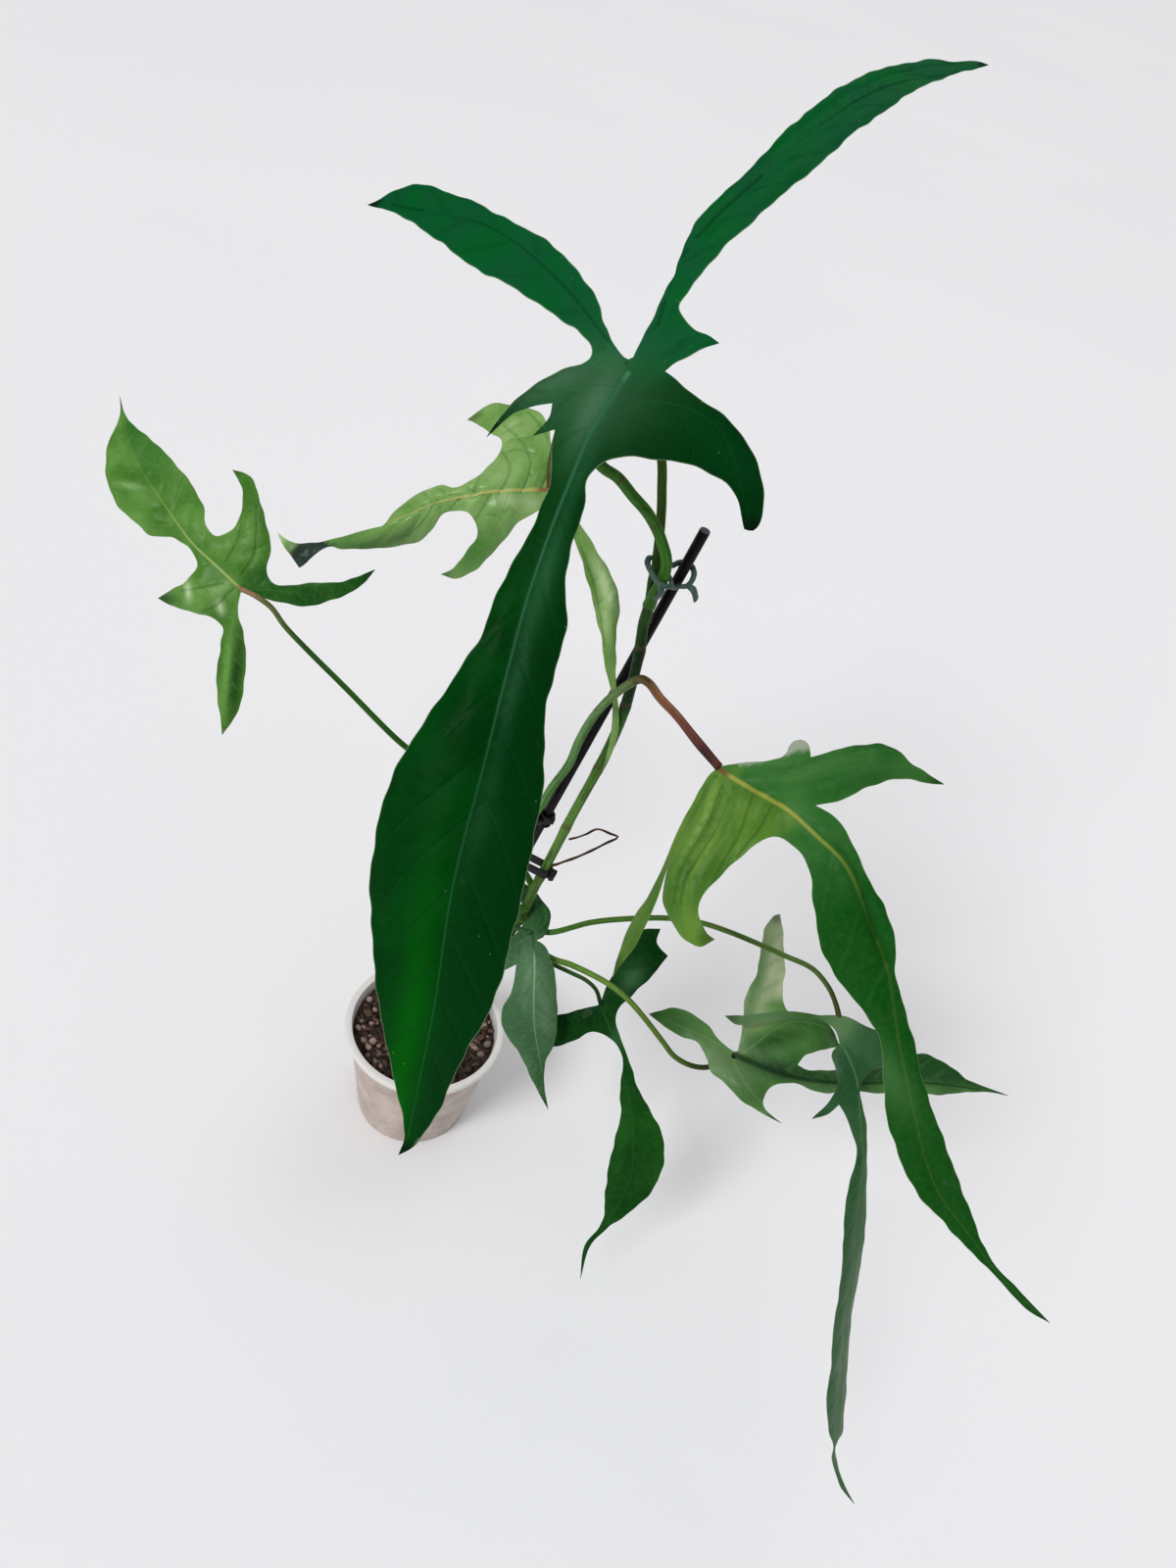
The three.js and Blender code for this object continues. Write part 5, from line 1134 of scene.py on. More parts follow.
LOOKS = {
    "a": PLAIN | {
        "slot": "leaf_deep", "deep": 0x003E0C, "light": 0x014C14, "lobe": 0x06642E,
        "lobe_other": 0x105E38, "lit_stripe_colour": 0x026806, "half": 0x033F14, "half_show": 0.8,
        "mottle_colour": 0x1F5C38, "vein": 0x1F6A3C, "rib": 0x38704E, "base": 0x4A8460, "rib_show": 0.85,
        "rib_far": 0.4, "rib_fade": 220, "rib_side": 0.35, "side_rib": 0x1C6238, "rib_width": 2.1,
        "margin": 0xC9D0B0, "margin_width": 0.6, "under": 0x3E6E48, "under_light": 0x55805A,
        "tip": 0x0C2410, "tip_show": 0.9, "shine": 0.05, "keel": 1.4,
        "pale_ribs": ["back_left", "back_right"], "pale_blend": 14, "lit_stripe": (190, 330), "quilt": 0.4,
        "quilt_reach": 40, "pleats": {"back_right": (0.6, 13), "back_left": (0.5, 14)},
        "shade_highlight_tone_patches": [
            (12, 22, 30, 30, 0, 0x4C7858, 0.6), (-16, 112, 7, 22, 0, 0x2C6438, 0.5),
            (2, 30, 5, 26, 8, 0x6C9476, 0.35), (28, 20, 20, 8, 50, 0x5C8666, 0.5),
            (-60, 12, 26, 9, 0, 0x0A5A2C, 0.4), (-10.5, 60, 20, 2.8, 98, 0x2E6844, 0.6),
            (-15, 103, 24, 2.8, 92, 0x2E6844, 0.6), (-14, 158, 28, 2.8, 86, 0x2A6040, 0.5),
            (-10, 215, 28, 2.8, 86, 0x1C5A34, 0.4),
        ],
        "creases": [
            [(17, -8), (58, -31), (114, -50), (186, -55)],
            [(0, -24), (13, -71), (7, -146), (-10, -236), (-38, -292)],
        ],
        "crease": 0x03301A, "crease_shade_show": 0.4, "veins": {"apart": 31, "lean": 1.15, "curl": 0.012},
    },
    "b": PLAIN | {
        "slot": "leaf_light", "step": 2.6, "deep": 0x74A050, "light": 0xA0BE80, "lobe": 0x6C9648,
        "lobe_other": 0x8AAA66, "mottle_colour": 0x9ABA78, "vein": 0x4F7E36, "vein_show": 0.4,
        "fine_show": 0.25, "fine_tall": 0.03, "rib": 0xC4BE74, "base": 0x9C5A4C, "rib_far": 0.7,
        "rib_side": 0.25, "side_rib": 0x5C8C3C, "rib_width": 2.2, "red_run": 9, "margin": 0x9A8C7C,
        "margin_show": 0.5, "under": 0x5A7C4C, "under_light": 0x6E9060, "pores": 0.1, "gloss": 0.26,
        "shine": 0.35, "sunk": 0.4, "pale_ribs": ["hanging"], "pale_blend": 6, "quilt": 1.2,
        # the twisted tip shows its underside, drawn dark grey-green as painted shade
        "quilt_reach": 22, "pleats": {"hanging": (0.9, 12)}, "turned": [(-1, 0, 9), (0, 1, -106)],
        "turned_colour": 0x33473D,
        "shade_highlight_tone_patches": [
            (-40, 36, 26, 12, 130, 0x437E2A, 0.95), (-20, 92, 16, 16, 0, 0x6A9440, 0.6),
            (-75, -45, 50, 3, 182, 0x3E6A2C, 0.75), (-50, -34, 13, 2.6, 200, 0xC0D0A4, 0.8),
            (-48, -34, 16, 3, 204, 0xC6DCAA, 0.75), (-70, -35.5, 16, 3, 192, 0xBAD298, 0.75),
            (-72, -41, 20, 1.6, 184, 0x3E6C28, 0.8), (-24, 100, 18, 4.5, 31, 0x2F5A24, 0.9),
            (-33, 84, 15, 8, 62, 0x3E6A2C, 0.75), (-12, 97, 14, 7, 130, 0x5C8A50, 0.7),
            (-100, -38, 30, 2.5, 180, 0x5C8438, 0.6), (36, 10, 24, 4, 28, 0x86AE5C, 0.5),
            (-10, 22, 5, 5, 0, 0xC8D4B0, 0.6), (-9, 10, 4, 5, 0, 0xC8D4B0, 0.5),
        ],
        "creases": [
            [(-1, 5), (18, 1), (36, 8), (48, 18)], [(-4, 15), (12, 12), (27, 18), (40, 30)],
            [(-7, 27), (8, 23), (20, 27), (30, 35)], [(-12, 40), (-4, 39), (6, 38)],
            [(-9, 31), (-22, 34), (-34, 40)], [(-14, 44), (-24, 50), (-32, 60)],
            [(-18, 58), (-28, 66), (-34, 78)], [(-28, -20.5), (-44, -26.5), (-62, -31.5), (-84, -36)],
        ],
        "crease": 0x3F6E26, "crease_deep": 1.0, "veins": {"apart": 13, "lean": 0.45, "curl": 0.008},
    },
    "c": PLAIN | {
        "step": 2.8, "deep": 0x487A2A, "light": 0x6E9C4C, "lobe": 0x1F5A20, "lobe_other": 0x35702C,
        "half": 0x2F7030, "half_side": -1, "half_show": 0.6, "half_from": (70, 130),
        "mottle_colour": 0x8CB86C, "vein": 0x8AB46C, "fine_show": 0.15, "rib": 0xA2B86C, "base": 0xA88A70,
        "rib_far": 0.12, "rib_fade": 120, "rib_side": 0.25, "red_run": 5, "gloss": 0.32, "shine": 0.2,
        "sunk": 0.3, "pale_ribs": ["back_right"], "quilt": 0.7, "quilt_reach": 20,
        "pleats": {"hanging": (0.8, 12), "back_right": (0.5, 12)},
        "shade_highlight_tone_patches": [
            (-47, -39, 34, 5, 215, 0x1E5010, 0.95), (-48, -20, 26, 4, 213, 0x1E5010, 0.8),
            (-46, -30, 24, 3, 213, 0x86B45E, 0.6), (-29, 20, 6, 3, 60, 0xD4E4C0, 0.75),
            (-18, -1, 5, 2.5, 60, 0xD4E4C0, 0.7), (-24, 103, 9, 2.2, 128, 0xA8CC90, 0.6),
            (36, 24, 16, 4, 66, 0x2A621C, 0.75), (-9, 8, 8, 4, 0, 0x9ABA7A, 0.6),
            (-49, 28, 12, 5, 150, 0x1E5010, 0.85), (24, 14, 16, 8, 60, 0x5C8C3A, 0.5),
        ],
        "creases": [
            [(2, 20), (14, 25), (26, 36), (35, 52)], [(5, 7), (18, 11), (29, 22), (39, 38)],
            [(-4, 3), (-18, 1), (-30, 4)], [(-7, 10), (-20, 16), (-34, 24)],
        ],
        "crease": 0x1F5218, "veins": {"apart": 17, "lean": 0.7, "curl": 0.012},
    },
    "d": PLAIN | {
        "step": 2.8, "deep": 0x2E6C2C, "light": 0x4A7E40, "lobe": 0x557F34, "lobe_other": 0x70943F,
        "half": 0x0A540F, "half_side": 0, "half_show": 0.9, "half_from": (50, 100),
        "mottle_colour": 0x5C8E50, "vein": 0x5E8E4E, "vein_show": 0.06, "rib": 0xA8A850, "base": 0x8A5A40,
        "rib_far": 0.08, "rib_fade": 110, "rib_side": 0.15, "rib_width": 2.6, "red_run": 9,
        "under": 0x587E50, "under_light": 0x6C9062, "spots": 0.9, "shine": 0.12, "keel": 1.6,
        "pale_ribs": ["front", "hanging"], "pale_blend": 5, "pale_area": [(0, -1, 47), (1, 0, 22)],
        "quilt": 0.35, "quilt_reach": 30, "pleats": {"side": (0.9, 12)},
        "turned": [(-0.28, -1, 2.6), (-1, 0, -11)], "turned_colour": 0xA4AE9E,
        "shade_highlight_tone_patches": [
            (14, 182, 9, 26, 0, 0x4E7C48, 0.7), (66, 30, 20, 9, 80, 0x4A752C, 0.6),
            (2, 40, 16, 7, 20, 0x5C8630, 0.6), (20, 8, 22, 5, 10, 0x7EA24A, 0.6),
            (30, 28, 26, 2, 30, 0x9CBA66, 0.5), (28, 12, 24, 2, 22, 0x9CBA66, 0.5),
            (30, 20, 26, 2, 25, 0x446E22, 0.55), (34, 38, 24, 2, 33, 0x446E22, 0.5),
            (-26, 108, 5, 24, 0, 0x1E6424, 0.7), (-60, 44, 30, 6, 155, 0x2A6428, 0.6),
        ],
        "creases": [
            [(-7, 20), (10, 31), (27, 40), (46, 52)], [(1, 12), (22, 22), (44, 31), (58, 42)],
            [(7, 7.5), (28, 14), (48, 23), (61, 36)], [(-10, 31), (1, 37), (16, 41), (34, 47)],
            [(-25, 66), (-26, 82), (-24.5, 97), (-20.5, 114), (-15, 131)],
            [(6, 0.6), (28, 0.4), (60, 0.8)],
        ],
        "crease": 0x2A5A1C, "crease_shade_show": 0.35, "crease_deep": 3.0,
        "veins": {"apart": 34, "lean": 1.1, "curl": 0.012},
    },
    "e": PLAIN | {
        "step": 3, "deep": 0x44743A, "light": 0x64904E, "lobe": 0x94A880, "lobe_other": 0xB2BC98,
        "half": 0x1C5428, "half_show": 0.85, "half_from": (54, 76), "vein": 0x7FA06C, "rib": 0x103818,
        "base": 0x2A3A20, "rib_far": 0.6, "rib_fade": 120, "rib_side": 0.25, "side_rib": 0x86A668,
        "rib_width": 3.2, "under": 0x6C8468, "under_light": 0x82947A, "pale_ribs": ["raised"],
        "pale_blend": 7, "quilt": 0.5,
        "pleats": {"raised": (0.7, 9), "side": (0.5, 12), "lower": (0.4, 11)},
        "shade_highlight_tone_patches": [
            (-19, 27, 22, 5, 116, 0x2E5E1E, 0.75), (-1, 53, 26, 7, 98, 0x123E1C, 0.9),
            (3, 26, 20, 5.5, 88, 0x0E3414, 0.95), (-52, 3.5, 46, 4.5, 177, 0x4A7A40, 0.8),
            (10, -4, 28, 10, 60, 0x708860, 0.8), (20, 16, 12, 6, 60, 0x46703A, 0.6),
            (-14, 7, 12, 7, 150, 0x4A7636, 0.85), (4, 110, 60, 5, 92, 0x5E7E58, 0.7),
            (-37, 17, 9, 5, 120, 0x4E8630, 0.8), (-13, 20, 16, 5, 125, 0x24501A, 0.8),
            (-24, 14, 12, 3.5, 132, 0x9AB078, 0.6),
        ],
        "veins": {"apart": 20, "lean": 0.9, "curl": 0.015},
    },
    "f": PLAIN | {
        "slot": "leaf_grey", "deep": 0x2A5C34, "light": 0x406C44, "lobe": 0x56784C,
        "lobe_other": 0x64845A, "half": 0x527A48, "half_show": 0.5, "half_from": (30, 60),
        "mottle_colour": 0x5E8656, "vein": 0x5C8464, "rib": 0x6A8E66, "base": 0x52785A, "rib_show": 0.45,
        "rib_side": 0.2, "side_rib": 0x4A7052, "rib_width": 1.4, "margin": 0x8C8468, "margin_show": 0.4,
        "under": 0x56745A, "under_light": 0x6A8768, "keel": 0.8, "pale_ribs": ["strap"],
        "shade_highlight_tone_patches": [
            (19, -19, 14, 7, 0, 0x2E5E22, 0.8), (4, 24, 8, 22, 0, 0x244E30, 0.7),
            (-6.5, 190, 60, 2, 84.5, 0x24521E, 0.7), (13, 205, 50, 5, 84, 0x4C7A3C, 0.6),
        ],
        "veins": {"apart": 22, "lean": 1.1, "curl": 0.02},
    },
    "g": PLAIN | {
        "slot": "leaf_deep", "deep": 0x0A4810, "light": 0x24601E, "lobe": 0x033F10,
        "lobe_other": 0x0C5018, "vein": 0x2C6430, "rib": 0x3C7040, "base": 0x2C6430, "rib_show": 0.4,
        "rib_side": 0.2, "side_rib": 0x2C6430, "rib_width": 1.4, "margin": 0x2F6030, "under": 0x2C5A2C,
        "under_light": 0x3C6A38, "tip": 0x1C4A1C, "shine": 0.1, "pale_ribs": ["back", "side"],
        "shade_highlight_tone_patches": [
            (-22, -17, 12, 7, 50, 0x54845A, 0.8), (-24, 132, 16, 30, 0, 0x07480C, 0.8),
            (-18, 84, 5, 34, 0, 0x2F6C2C, 0.6), (-11, 22, 5, 9, 0, 0x54845A, 0.6),
        ],
        "veins": {"apart": 26, "lean": 1.0, "curl": 0.015},
    },
    "h": PLAIN | {
        "slot": "leaf_grey", "deep": 0x36623C, "light": 0x547A54, "lobe": 0x08440F,
        "lobe_other": 0x1A5420, "mottle_colour": 0xA0B89C, "vein": 0x7A9A78, "vein_show": 0.08,
        "rib": 0x9AB496, "base": 0x2C5A2C, "rib_width": 1.5, "red_run": 20, "gloss": 0.4,
        "pale_ribs": ["hooked"], "quilt": 0.6,
        "shade_highlight_tone_patches": [
            (-8, 48, 7, 26, 0, 0x6E906C, 0.75), (2, 104, 10, 26, 0, 0x2A5A2E, 0.8),
            (14, 62, 5, 22, 0, 0x426C46, 0.6), (2, 28, 8, 14, 0, 0x6A8E68, 0.6),
        ],
        "veins": {"apart": 18, "lean": 0.9, "curl": 0.02},
    },
}
for letter, leaf in LEAVES.items():
    look = LOOKS[letter]
    blade(letter, leaf, look, leaf_material(f"leaf_skin_{letter}", look))

# Stem and stalks


def stalk_material(name, stripes=0.6, gloss=0.34, blotches=0.55):
    """A smooth green stalk: its own colour from the mesh, with lengthwise stripes and flecks."""
    p = Paint(name)
    tone, round_at = p.value("tone", "Color"), p.value("round_at", "Vector")
    long = p.noise(p.scaled(round_at, (1.6, 1.6, 0.015)), 1.5, 3)
    fleck = p.noise(p.scaled(round_at, (1, 1, 0.25)), 2.6, 2)
    blotch = p.noise(p.scaled(round_at, (0.5, 0.5, 0.05)), 1.1, 4, 0.7)
    streak = p.noise(p.scaled(round_at, (2.2, 2.2, 0.09)), 2.2, 4, 0.7)
    colour = p.mix(p.times(p.step(long, 0.5, 0.7), stripes), tone, 0xE8EED8, "SOFT_LIGHT")
    colour = p.mix(p.times(p.step(long, 0.5, 0.3), 0.6), colour, 0x3A3A30, "SOFT_LIGHT")
    colour = p.mix(p.step(streak, 0.35, 0.65, 0.5, 0), colour, 0x4A4438, "SOFT_LIGHT")
    colour = p.mix(p.times(p.step(fleck, 0.66, 0.74), 0.5), colour, 0x4A3A28)
    colour = p.mix(p.step(blotch, 0.55, 0.66, 0, blotches), colour, 0x2A2C16)
    ring = p.value("ring")
    colour = p.mix(p.times(ring, 0.7), colour, 0x5C4A34)
    height = p.calc("ADD", p.times(long, 0.25), p.times(fleck, 0.08))
    rough = p.step(fleck, 0.3, 0.8, gloss, gloss + 0.2)
    return p.finish(colour, rough, height, 0.6, shine=0.2)


def with_tone(part, stops, rings=()):
    """Adds colour along the length, and brown rings at some shares of it."""
    points, faces, values = part
    share = values["share"]
    values["tone"] = along_stops(stops, share)
    mark = np.zeros(len(share))
    for at in rings:
        mark = np.maximum(mark, bell(share - at, RING_WIDTH))
    values["ring"] = mark
    return points, faces, values


stalk_skin = stalk_material("stalk_skin")


def stem_size(share):
    """The stem's radius: a swelling at each node, and a shallow scar above it."""
    swell = [bell(share - n, SWELL["width"]) for n in NODES]
    scar = [bell(share - n - SCAR["after"], SCAR["width"]) for n in NODES]
    return STEM_RADIUS + SWELL["height"] * np.max(swell, 0) - SCAR["depth"] * np.max(scar, 0)


# The stem's darkest green, from 0.85 to 0.93 of its length, is painted shade.
stem = with_tone(
    rod(STEM_ROUTE, stem_size, 20, 1.6),
    [(0, 0x4A4A2A), (0.2, 0x45602A), (0.45, 0x5A7E3A), (0.62, 0x6C924A), (0.76, 0x4C7A2A),
     (0.81, 0x3E7A1C), (0.85, 0x1E4616), (0.93, 0x183C14), (0.97, 0x2C5A1E), (1, 0x35602A)],
    [n + SCAR["after"] for n in NODES],
)
solid("climbing_stem", stem, ["main_stem"], stalk_skin)

# Colours at shares of each stalk's length, and the shares where brown rings lie
STALK_LOOKS = {
    "a": ([(0, 0x44782A), (0.25, 0x508A34), (0.6, 0x528636), (1, 0x2F6A44)], [0.02, 0.33, 0.53]),
    # stalk b's darkest green, where it leaves the stem, is painted shade
    "b": ([(0, 0x1E3E12), (0.2, 0x3E6422), (0.4, 0x5A7C34), (0.6, 0x44602A), (0.95, 0x6A7A40),
           (1, 0x8C5044)], [0.02, 0.42]),
    "c": ([(0, 0x386A20), (0.8, 0x35681E), (0.93, 0x6E7440), (0.97, 0xA08466), (1, 0xA88A70)], []),
    "d": ([(0, 0x4C7A38), (0.3, 0x5C8A4C), (0.6, 0x6C945C), (0.74, 0x7A9260), (0.79, 0x7A6A48),
           (0.84, 0xA07458), (0.92, 0x7A4A42), (0.97, 0x522C2E), (1, 0x6A4038)], [0.77]),
    "e": ([(0, 0x5C8A34), (0.5, 0x86A450), (0.8, 0x5A7A34), (0.9, 0x37482A), (1, 0x262C1C)], [0.13]),
    "f": ([(0, 0x4C7A30), (0.5, 0x6A8E44), (0.85, 0x586E34), (1, 0x4A4630)], []),
    "g": ([(0, 0x4C7A30), (0.6, 0x44702E), (1, 0x1E4A22)], []),
    "h": ([(0, 0x3F6A40), (1, 0x3A6A40)], []),
}
for letter, stalk in STALKS.items():
    start, end = stalk["radius"]

    def taper(share, start=start, end=end):
        """A stalk's radius, thicker at its sheath and just below the blade."""
        joint = JOINT["more"] * bell(share - JOINT["at"], JOINT["width"])
        sheath = SHEATH["more"] * bell(share, SHEATH["width"])
        return (start + (end - start) * share) * (1 + joint + sheath)

    stops, rings = STALK_LOOKS[letter]
    part = with_tone(rod(stalk["route"], taper, 16, 2.2), stops, rings)
    solid(f"leafstalk_{letter}", part, [f"stalk_{letter}"], stalk_skin)


def root_size(share):
    return 0.9 - 0.25 * share + 0.12 * np.sin(40 * share)


root_part = with_tone(
    rod(ROOT_ROUTE, root_size, 10, 1.5),
    [(0, 0x5A4632), (0.5, 0x4A3626), (1, 0x6A5238)],
)
solid("root_curl", root_part, ["aerial_root"], stalk_material("root_skin", 0.1, 0.7))

# Stake


def stake_material():
    """Glossy black coating with dusty patches, brown-purple low down: partly the coating's colour, partly
    a painted sheen.
    """
    p = Paint("stake_paint")
    round_at, share = p.value("round_at", "Vector"), p.value("share")
    dust = p.noise(p.scaled(round_at, (1, 1, 0.05)), 3, 4)
    # browner low down: partly the coating, partly a painted sheen
    low = p.step(share, 0.45, 0.75, 1, 0)
    colour = p.mix(p.times(low, 0.5), 0x0C0A0E, 0x3A2A30)
    colour = p.mix(p.times(p.step(dust, 0.5, 0.8), 0.3), colour, 0x4C444A)
    colour = p.mix(p.step(share, 0.9985, 0.9995), colour, 0x6B666C)
    return p.finish(colour, p.step(dust, 0.3, 0.7, 0.22, 0.42), dust, 0.2, shine=0.2)


stake_line = np.array([STAKE["foot"], STAKE["top"]], float)
stake_axis = (stake_line[1] - stake_line[0]) / length_of(stake_line)


def stake_size(share):
    return STAKE["radius"] * (1 - 0.1 * rise(share, 0.9985, 1))


stake_part = rod(stake_line, stake_size, STAKE["sides"], STAKE["step"])
stake = solid("glossy_stake", stake_part, ["stake"], stake_material())
keep_sharp(stake, 50)

# Pot and what fills it


def wall_at(z):
    """The radius of the pot's outside at a height."""
    return POT["foot"] + (POT["shoulder"] - POT["foot"]) * z / POT["height"]


def pot_profile():
    """The pot's section, from the foot's middle, up the outside, over the rim and down inside."""
    under = POT["height"] - RIM["flange"]
    top, rim, mouth = POT["height"], POT["rim"], POT["mouth"]
    outer = [(POT["foot"] - 1.4, 0), (POT["foot"] - 0.5, 0.3), (POT["foot"], 1.2)]
    outer += [(wall_at(z), z) for z in np.linspace(6, under - 1, 16)]
    outer += [(wall_at(under) + RIM["step"], under), (rim - 1.4, under), (rim - 1.4, top - RIM["lip"])]
    outer += [(rim - 1.1, top - RIM["lip"] - 0.1), (rim - 0.4, top - RIM["lip"])]
    outer += [(rim - 0.05, top - 2.4), (rim, top - 1), (rim - 0.25, top - 0.3), (rim - 0.9, top)]
    inner = [(mouth + 1.2, top), (mouth + 0.4, top - 0.3), (mouth, top - 1.1)]
    low = (POT["foot"] - POT["wall"], POT["floor"])
    inner += [
        (mouth + (low[0] - mouth) * s, top - 1 + (low[1] - top + 1) * s)
        for s in np.linspace(0.05, 1, 14)
    ]
    return outer, inner


def drain_holes():
    """The outline of each hole in the pot's floor."""
    turn, holes = circle(DRAIN["sides"]), []
    for i in range(DRAIN["holes"]):
        at = 2 * math.pi * (i + 0.5) / DRAIN["holes"]
        x = DRAIN["circle"] * math.cos(at) + DRAIN["radius"] * np.cos(turn)
        y = DRAIN["circle"] * math.sin(at) + DRAIN["radius"] * np.sin(turn)
        holes.append(np.stack([x, y], axis=1))
    return holes


def pot():
    """The pot: its section turned round the Z axis, and a floor with drain holes."""
    outer, inner = pot_profile()
    sides, hole_sides = ROUND, DRAIN["sides"]
    angle = circle(sides)
    ring = np.stack([np.cos(angle), np.sin(angle)], axis=1)
    points = []
    for radius, z in outer + inner:
        points.extend(np.c_[ring * radius, np.full(sides, z)])
    rows = len(outer + inner)
    faces = ring_faces(rows, sides)
    holes = drain_holes()
    edges = loop_edges(0, sides)
    for i in range(len(holes)):
        edges += loop_edges(sides + i * hole_sides, hole_sides)
    bases = []
    for radius, z, start, below in (
        (outer[0][0], 0, 0, True), (inner[-1][0], POT["floor"], (rows - 1) * sides, False)
    ):
        spots = [ring[::4] * r for r in DRAIN["spots"]]
        flat = np.vstack([ring * radius, *holes, *spots])
        base = len(points)
        bases.append(base)
        points.extend(np.c_[flat[sides:], np.full(len(flat) - sides, z)])
        for face in filled(flat, edges):
            middle = flat[face].mean(0)
            if any(np.linalg.norm(middle - h.mean(0)) < DRAIN["radius"] * 0.98 for h in holes):
                continue
            face = [start + i if i < sides else base + i - sides for i in face]
            faces.append(tuple(reversed(face)) if below else tuple(face))
    low, high = bases
    for i in range(len(holes)):
        for a, b in loop_edges(i * hole_sides, hole_sides):
            faces.append((low + a, low + b, high + b, high + a))
    return points, faces, {}


def pot_material():
    """Thin cloudy plastic: the mix shows through the wall as soft grey-brown clouds."""
    p = Paint("cloudy_plastic")
    place = p.place()
    height_of = p.add("SeparateXYZ")
    p.put(height_of.inputs[0], place)
    z = height_of.outputs[2]
    cloud = p.noise(place, 55, 5, 0.6)
    scuff = p.noise(p.scaled(place, (1, 1, 0.3)), 240, 4, 0.7)
    wall = p.mix(p.step(cloud, 0.35, 0.7), 0xC9BBB2, 0xAFA198)
    wall = p.mix(p.times(p.step(scuff, 0.5, 0.75), 0.35), wall, 0xDDD6D0)
    mix_line = p.calc("ADD", z, p.times(p.calc("SUBTRACT", cloud, 0.5), 0.012))
    colour = p.mix(p.step(mix_line, 0.084, 0.091), wall, 0xE2DFDC)
    colour = p.mix(p.times(p.step(z, 0.0005, 0.004, 1, 0), 0.5), colour, 0xA79B93)
    rough = p.step(scuff, 0.3, 0.7, 0.32, 0.5)
    return p.finish(colour, rough, p.calc("ADD", cloud, p.times(scuff, 0.4)), 0.25)


shell = solid("pot_shell", pot(), ["nursery_pot"], pot_material())
keep_sharp(shell, 40)


def lump(x, y):
    """How far the mix's top rises above its level at a place."""
    return 1.6 * (np.sin(x * 0.43 + 1) * np.cos(y * 0.37) + np.sin(x * y * 0.02))


def mix_bed():
    """The mix's lumpy top, closed below along the pot's inside."""
    sides, rings = ROUND, 26
    base = POT["floor"] + 0.3
    low = POT["foot"] - POT["wall"] - 0.3
    top = low + (POT["mouth"] - POT["foot"] + POT["wall"]) * (MIX_TOP - base) / POT["height"]
    angle = circle(sides)
    points, faces = [np.array([[0, 0, MIX_TOP]])], []
    for i in range(1, rings + 1):
        x, y = top * i / rings * np.cos(angle), top * i / rings * np.sin(angle)
        fine = 0.9 * np.sin(x * 1.9 + 2 * np.sin(y * 1.3)) * np.sin(y * 2.1 + np.cos(x * 1.1))
        points.append(np.stack([x, y, MIX_TOP - 1.2 + lump(x, y) + fine], axis=1))
    points.append(np.stack([low * np.cos(angle), low * np.sin(angle), np.full(sides, base)], axis=1))
    for k in range(sides):
        m = (k + 1) % sides
        faces.append((0, 1 + k, 1 + m))
        for i in range(rings):
            a, b = 1 + i * sides, 1 + (i + 1) * sides
            faces.append((a + k, b + k, b + m, a + m))
    faces.append(tuple(1 + rings * sides + k for k in reversed(range(sides))))
    points = np.vstack(points)
    return points, faces, {"shade": np.full(len(points), 0.15), "stone": np.zeros(len(points))}


G = (1 + 5**0.5) / 2  # the golden ratio, for a ball of twenty faces
BALL_POINTS = [
    (-1, G, 0), (1, G, 0), (-1, -G, 0), (1, -G, 0), (0, -1, G), (0, 1, G),
    (0, -1, -G), (0, 1, -G), (G, 0, -1), (G, 0, 1), (-G, 0, -1), (-G, 0, 1),
]
BALL_FACES = [
    (0, 11, 5), (0, 5, 1), (0, 1, 7), (0, 7, 10), (0, 10, 11), (1, 5, 9), (5, 11, 4), (11, 10, 2),
    (10, 7, 6), (7, 1, 8), (3, 9, 4), (3, 4, 2), (3, 2, 6), (3, 6, 8), (3, 8, 9), (4, 9, 5),
    (2, 4, 11), (6, 2, 10), (8, 6, 7), (9, 8, 1),
]


def split_ball():
    """A ball of 80 faces."""
    points = [Vector(p).normalized() for p in BALL_POINTS]
    middles, faces = {}, []
    for a, b, c in BALL_FACES:
        half = []
        for pair in ((a, b), (b, c), (c, a)):
            key = tuple(sorted(pair))
            if key not in middles:
                middles[key] = len(points)
                points.append((points[pair[0]] + points[pair[1]]).normalized())
            half.append(middles[key])
        faces += [(a, half[0], half[2]), (b, half[1], half[0]), (c, half[2], half[1]), tuple(half)]
    return np.array(points), faces


def chunks():
    """Bark chips and pumice grains on the mix, seeded, none through the stem or the stake."""
    ball, ball_faces = split_ball()
    parts, spots = [], []
    reach = POT["mouth"] - 3.2
    while len(parts) < GRAIN_COUNT:
        r, turn = reach * chance.random() ** 0.5, chance.uniform(0, 2 * math.pi)
        x, y = r * math.cos(turn), r * math.sin(turn)
        size = chance.choice(GRAIN_SIZES)
        if any(math.hypot(x - a, y - b) < size + c for a, b, c in IN_THE_MIX):
            continue
        outside = r + size > reach + 1.6
        crowded = any(math.hypot(x - a, y - b) < 0.62 * (size + c) for a, b, c in spots)
        if (outside or crowded) and (chance.random() < 0.97 or outside):
            continue
        spots.append((x, y, size))
        stone = chance.random() < STONE_SHARE
        long, wide, tall, rough = GRAIN_SHAPES[stone]
        spread = (long, chance.uniform(*wide), chance.uniform(*tall))
        jag = 1 + rough * np.array([chance.uniform(-1, 1) for _ in ball])
        round_z = Matrix.Rotation(chance.uniform(0, 6.3), 3, "Z")
        round_x = Matrix.Rotation(chance.uniform(-0.6, 0.6), 3, "X")
        round_y = Matrix.Rotation(chance.uniform(-0.5, 0.5), 3, "Y")
        shape = ball * jag[:, None] * size * spread @ np.array(round_z @ round_x @ round_y).T
        z = MIX_TOP - 0.6 + lump(x, y) + chance.uniform(-0.3, 1.2)
        shade = chance.random()
        values = {"shade": np.full(len(ball), shade), "stone": np.full(len(ball), float(stone))}
        parts.append((shape + (x, y, z), ball_faces, values))
    return merge(*parts)


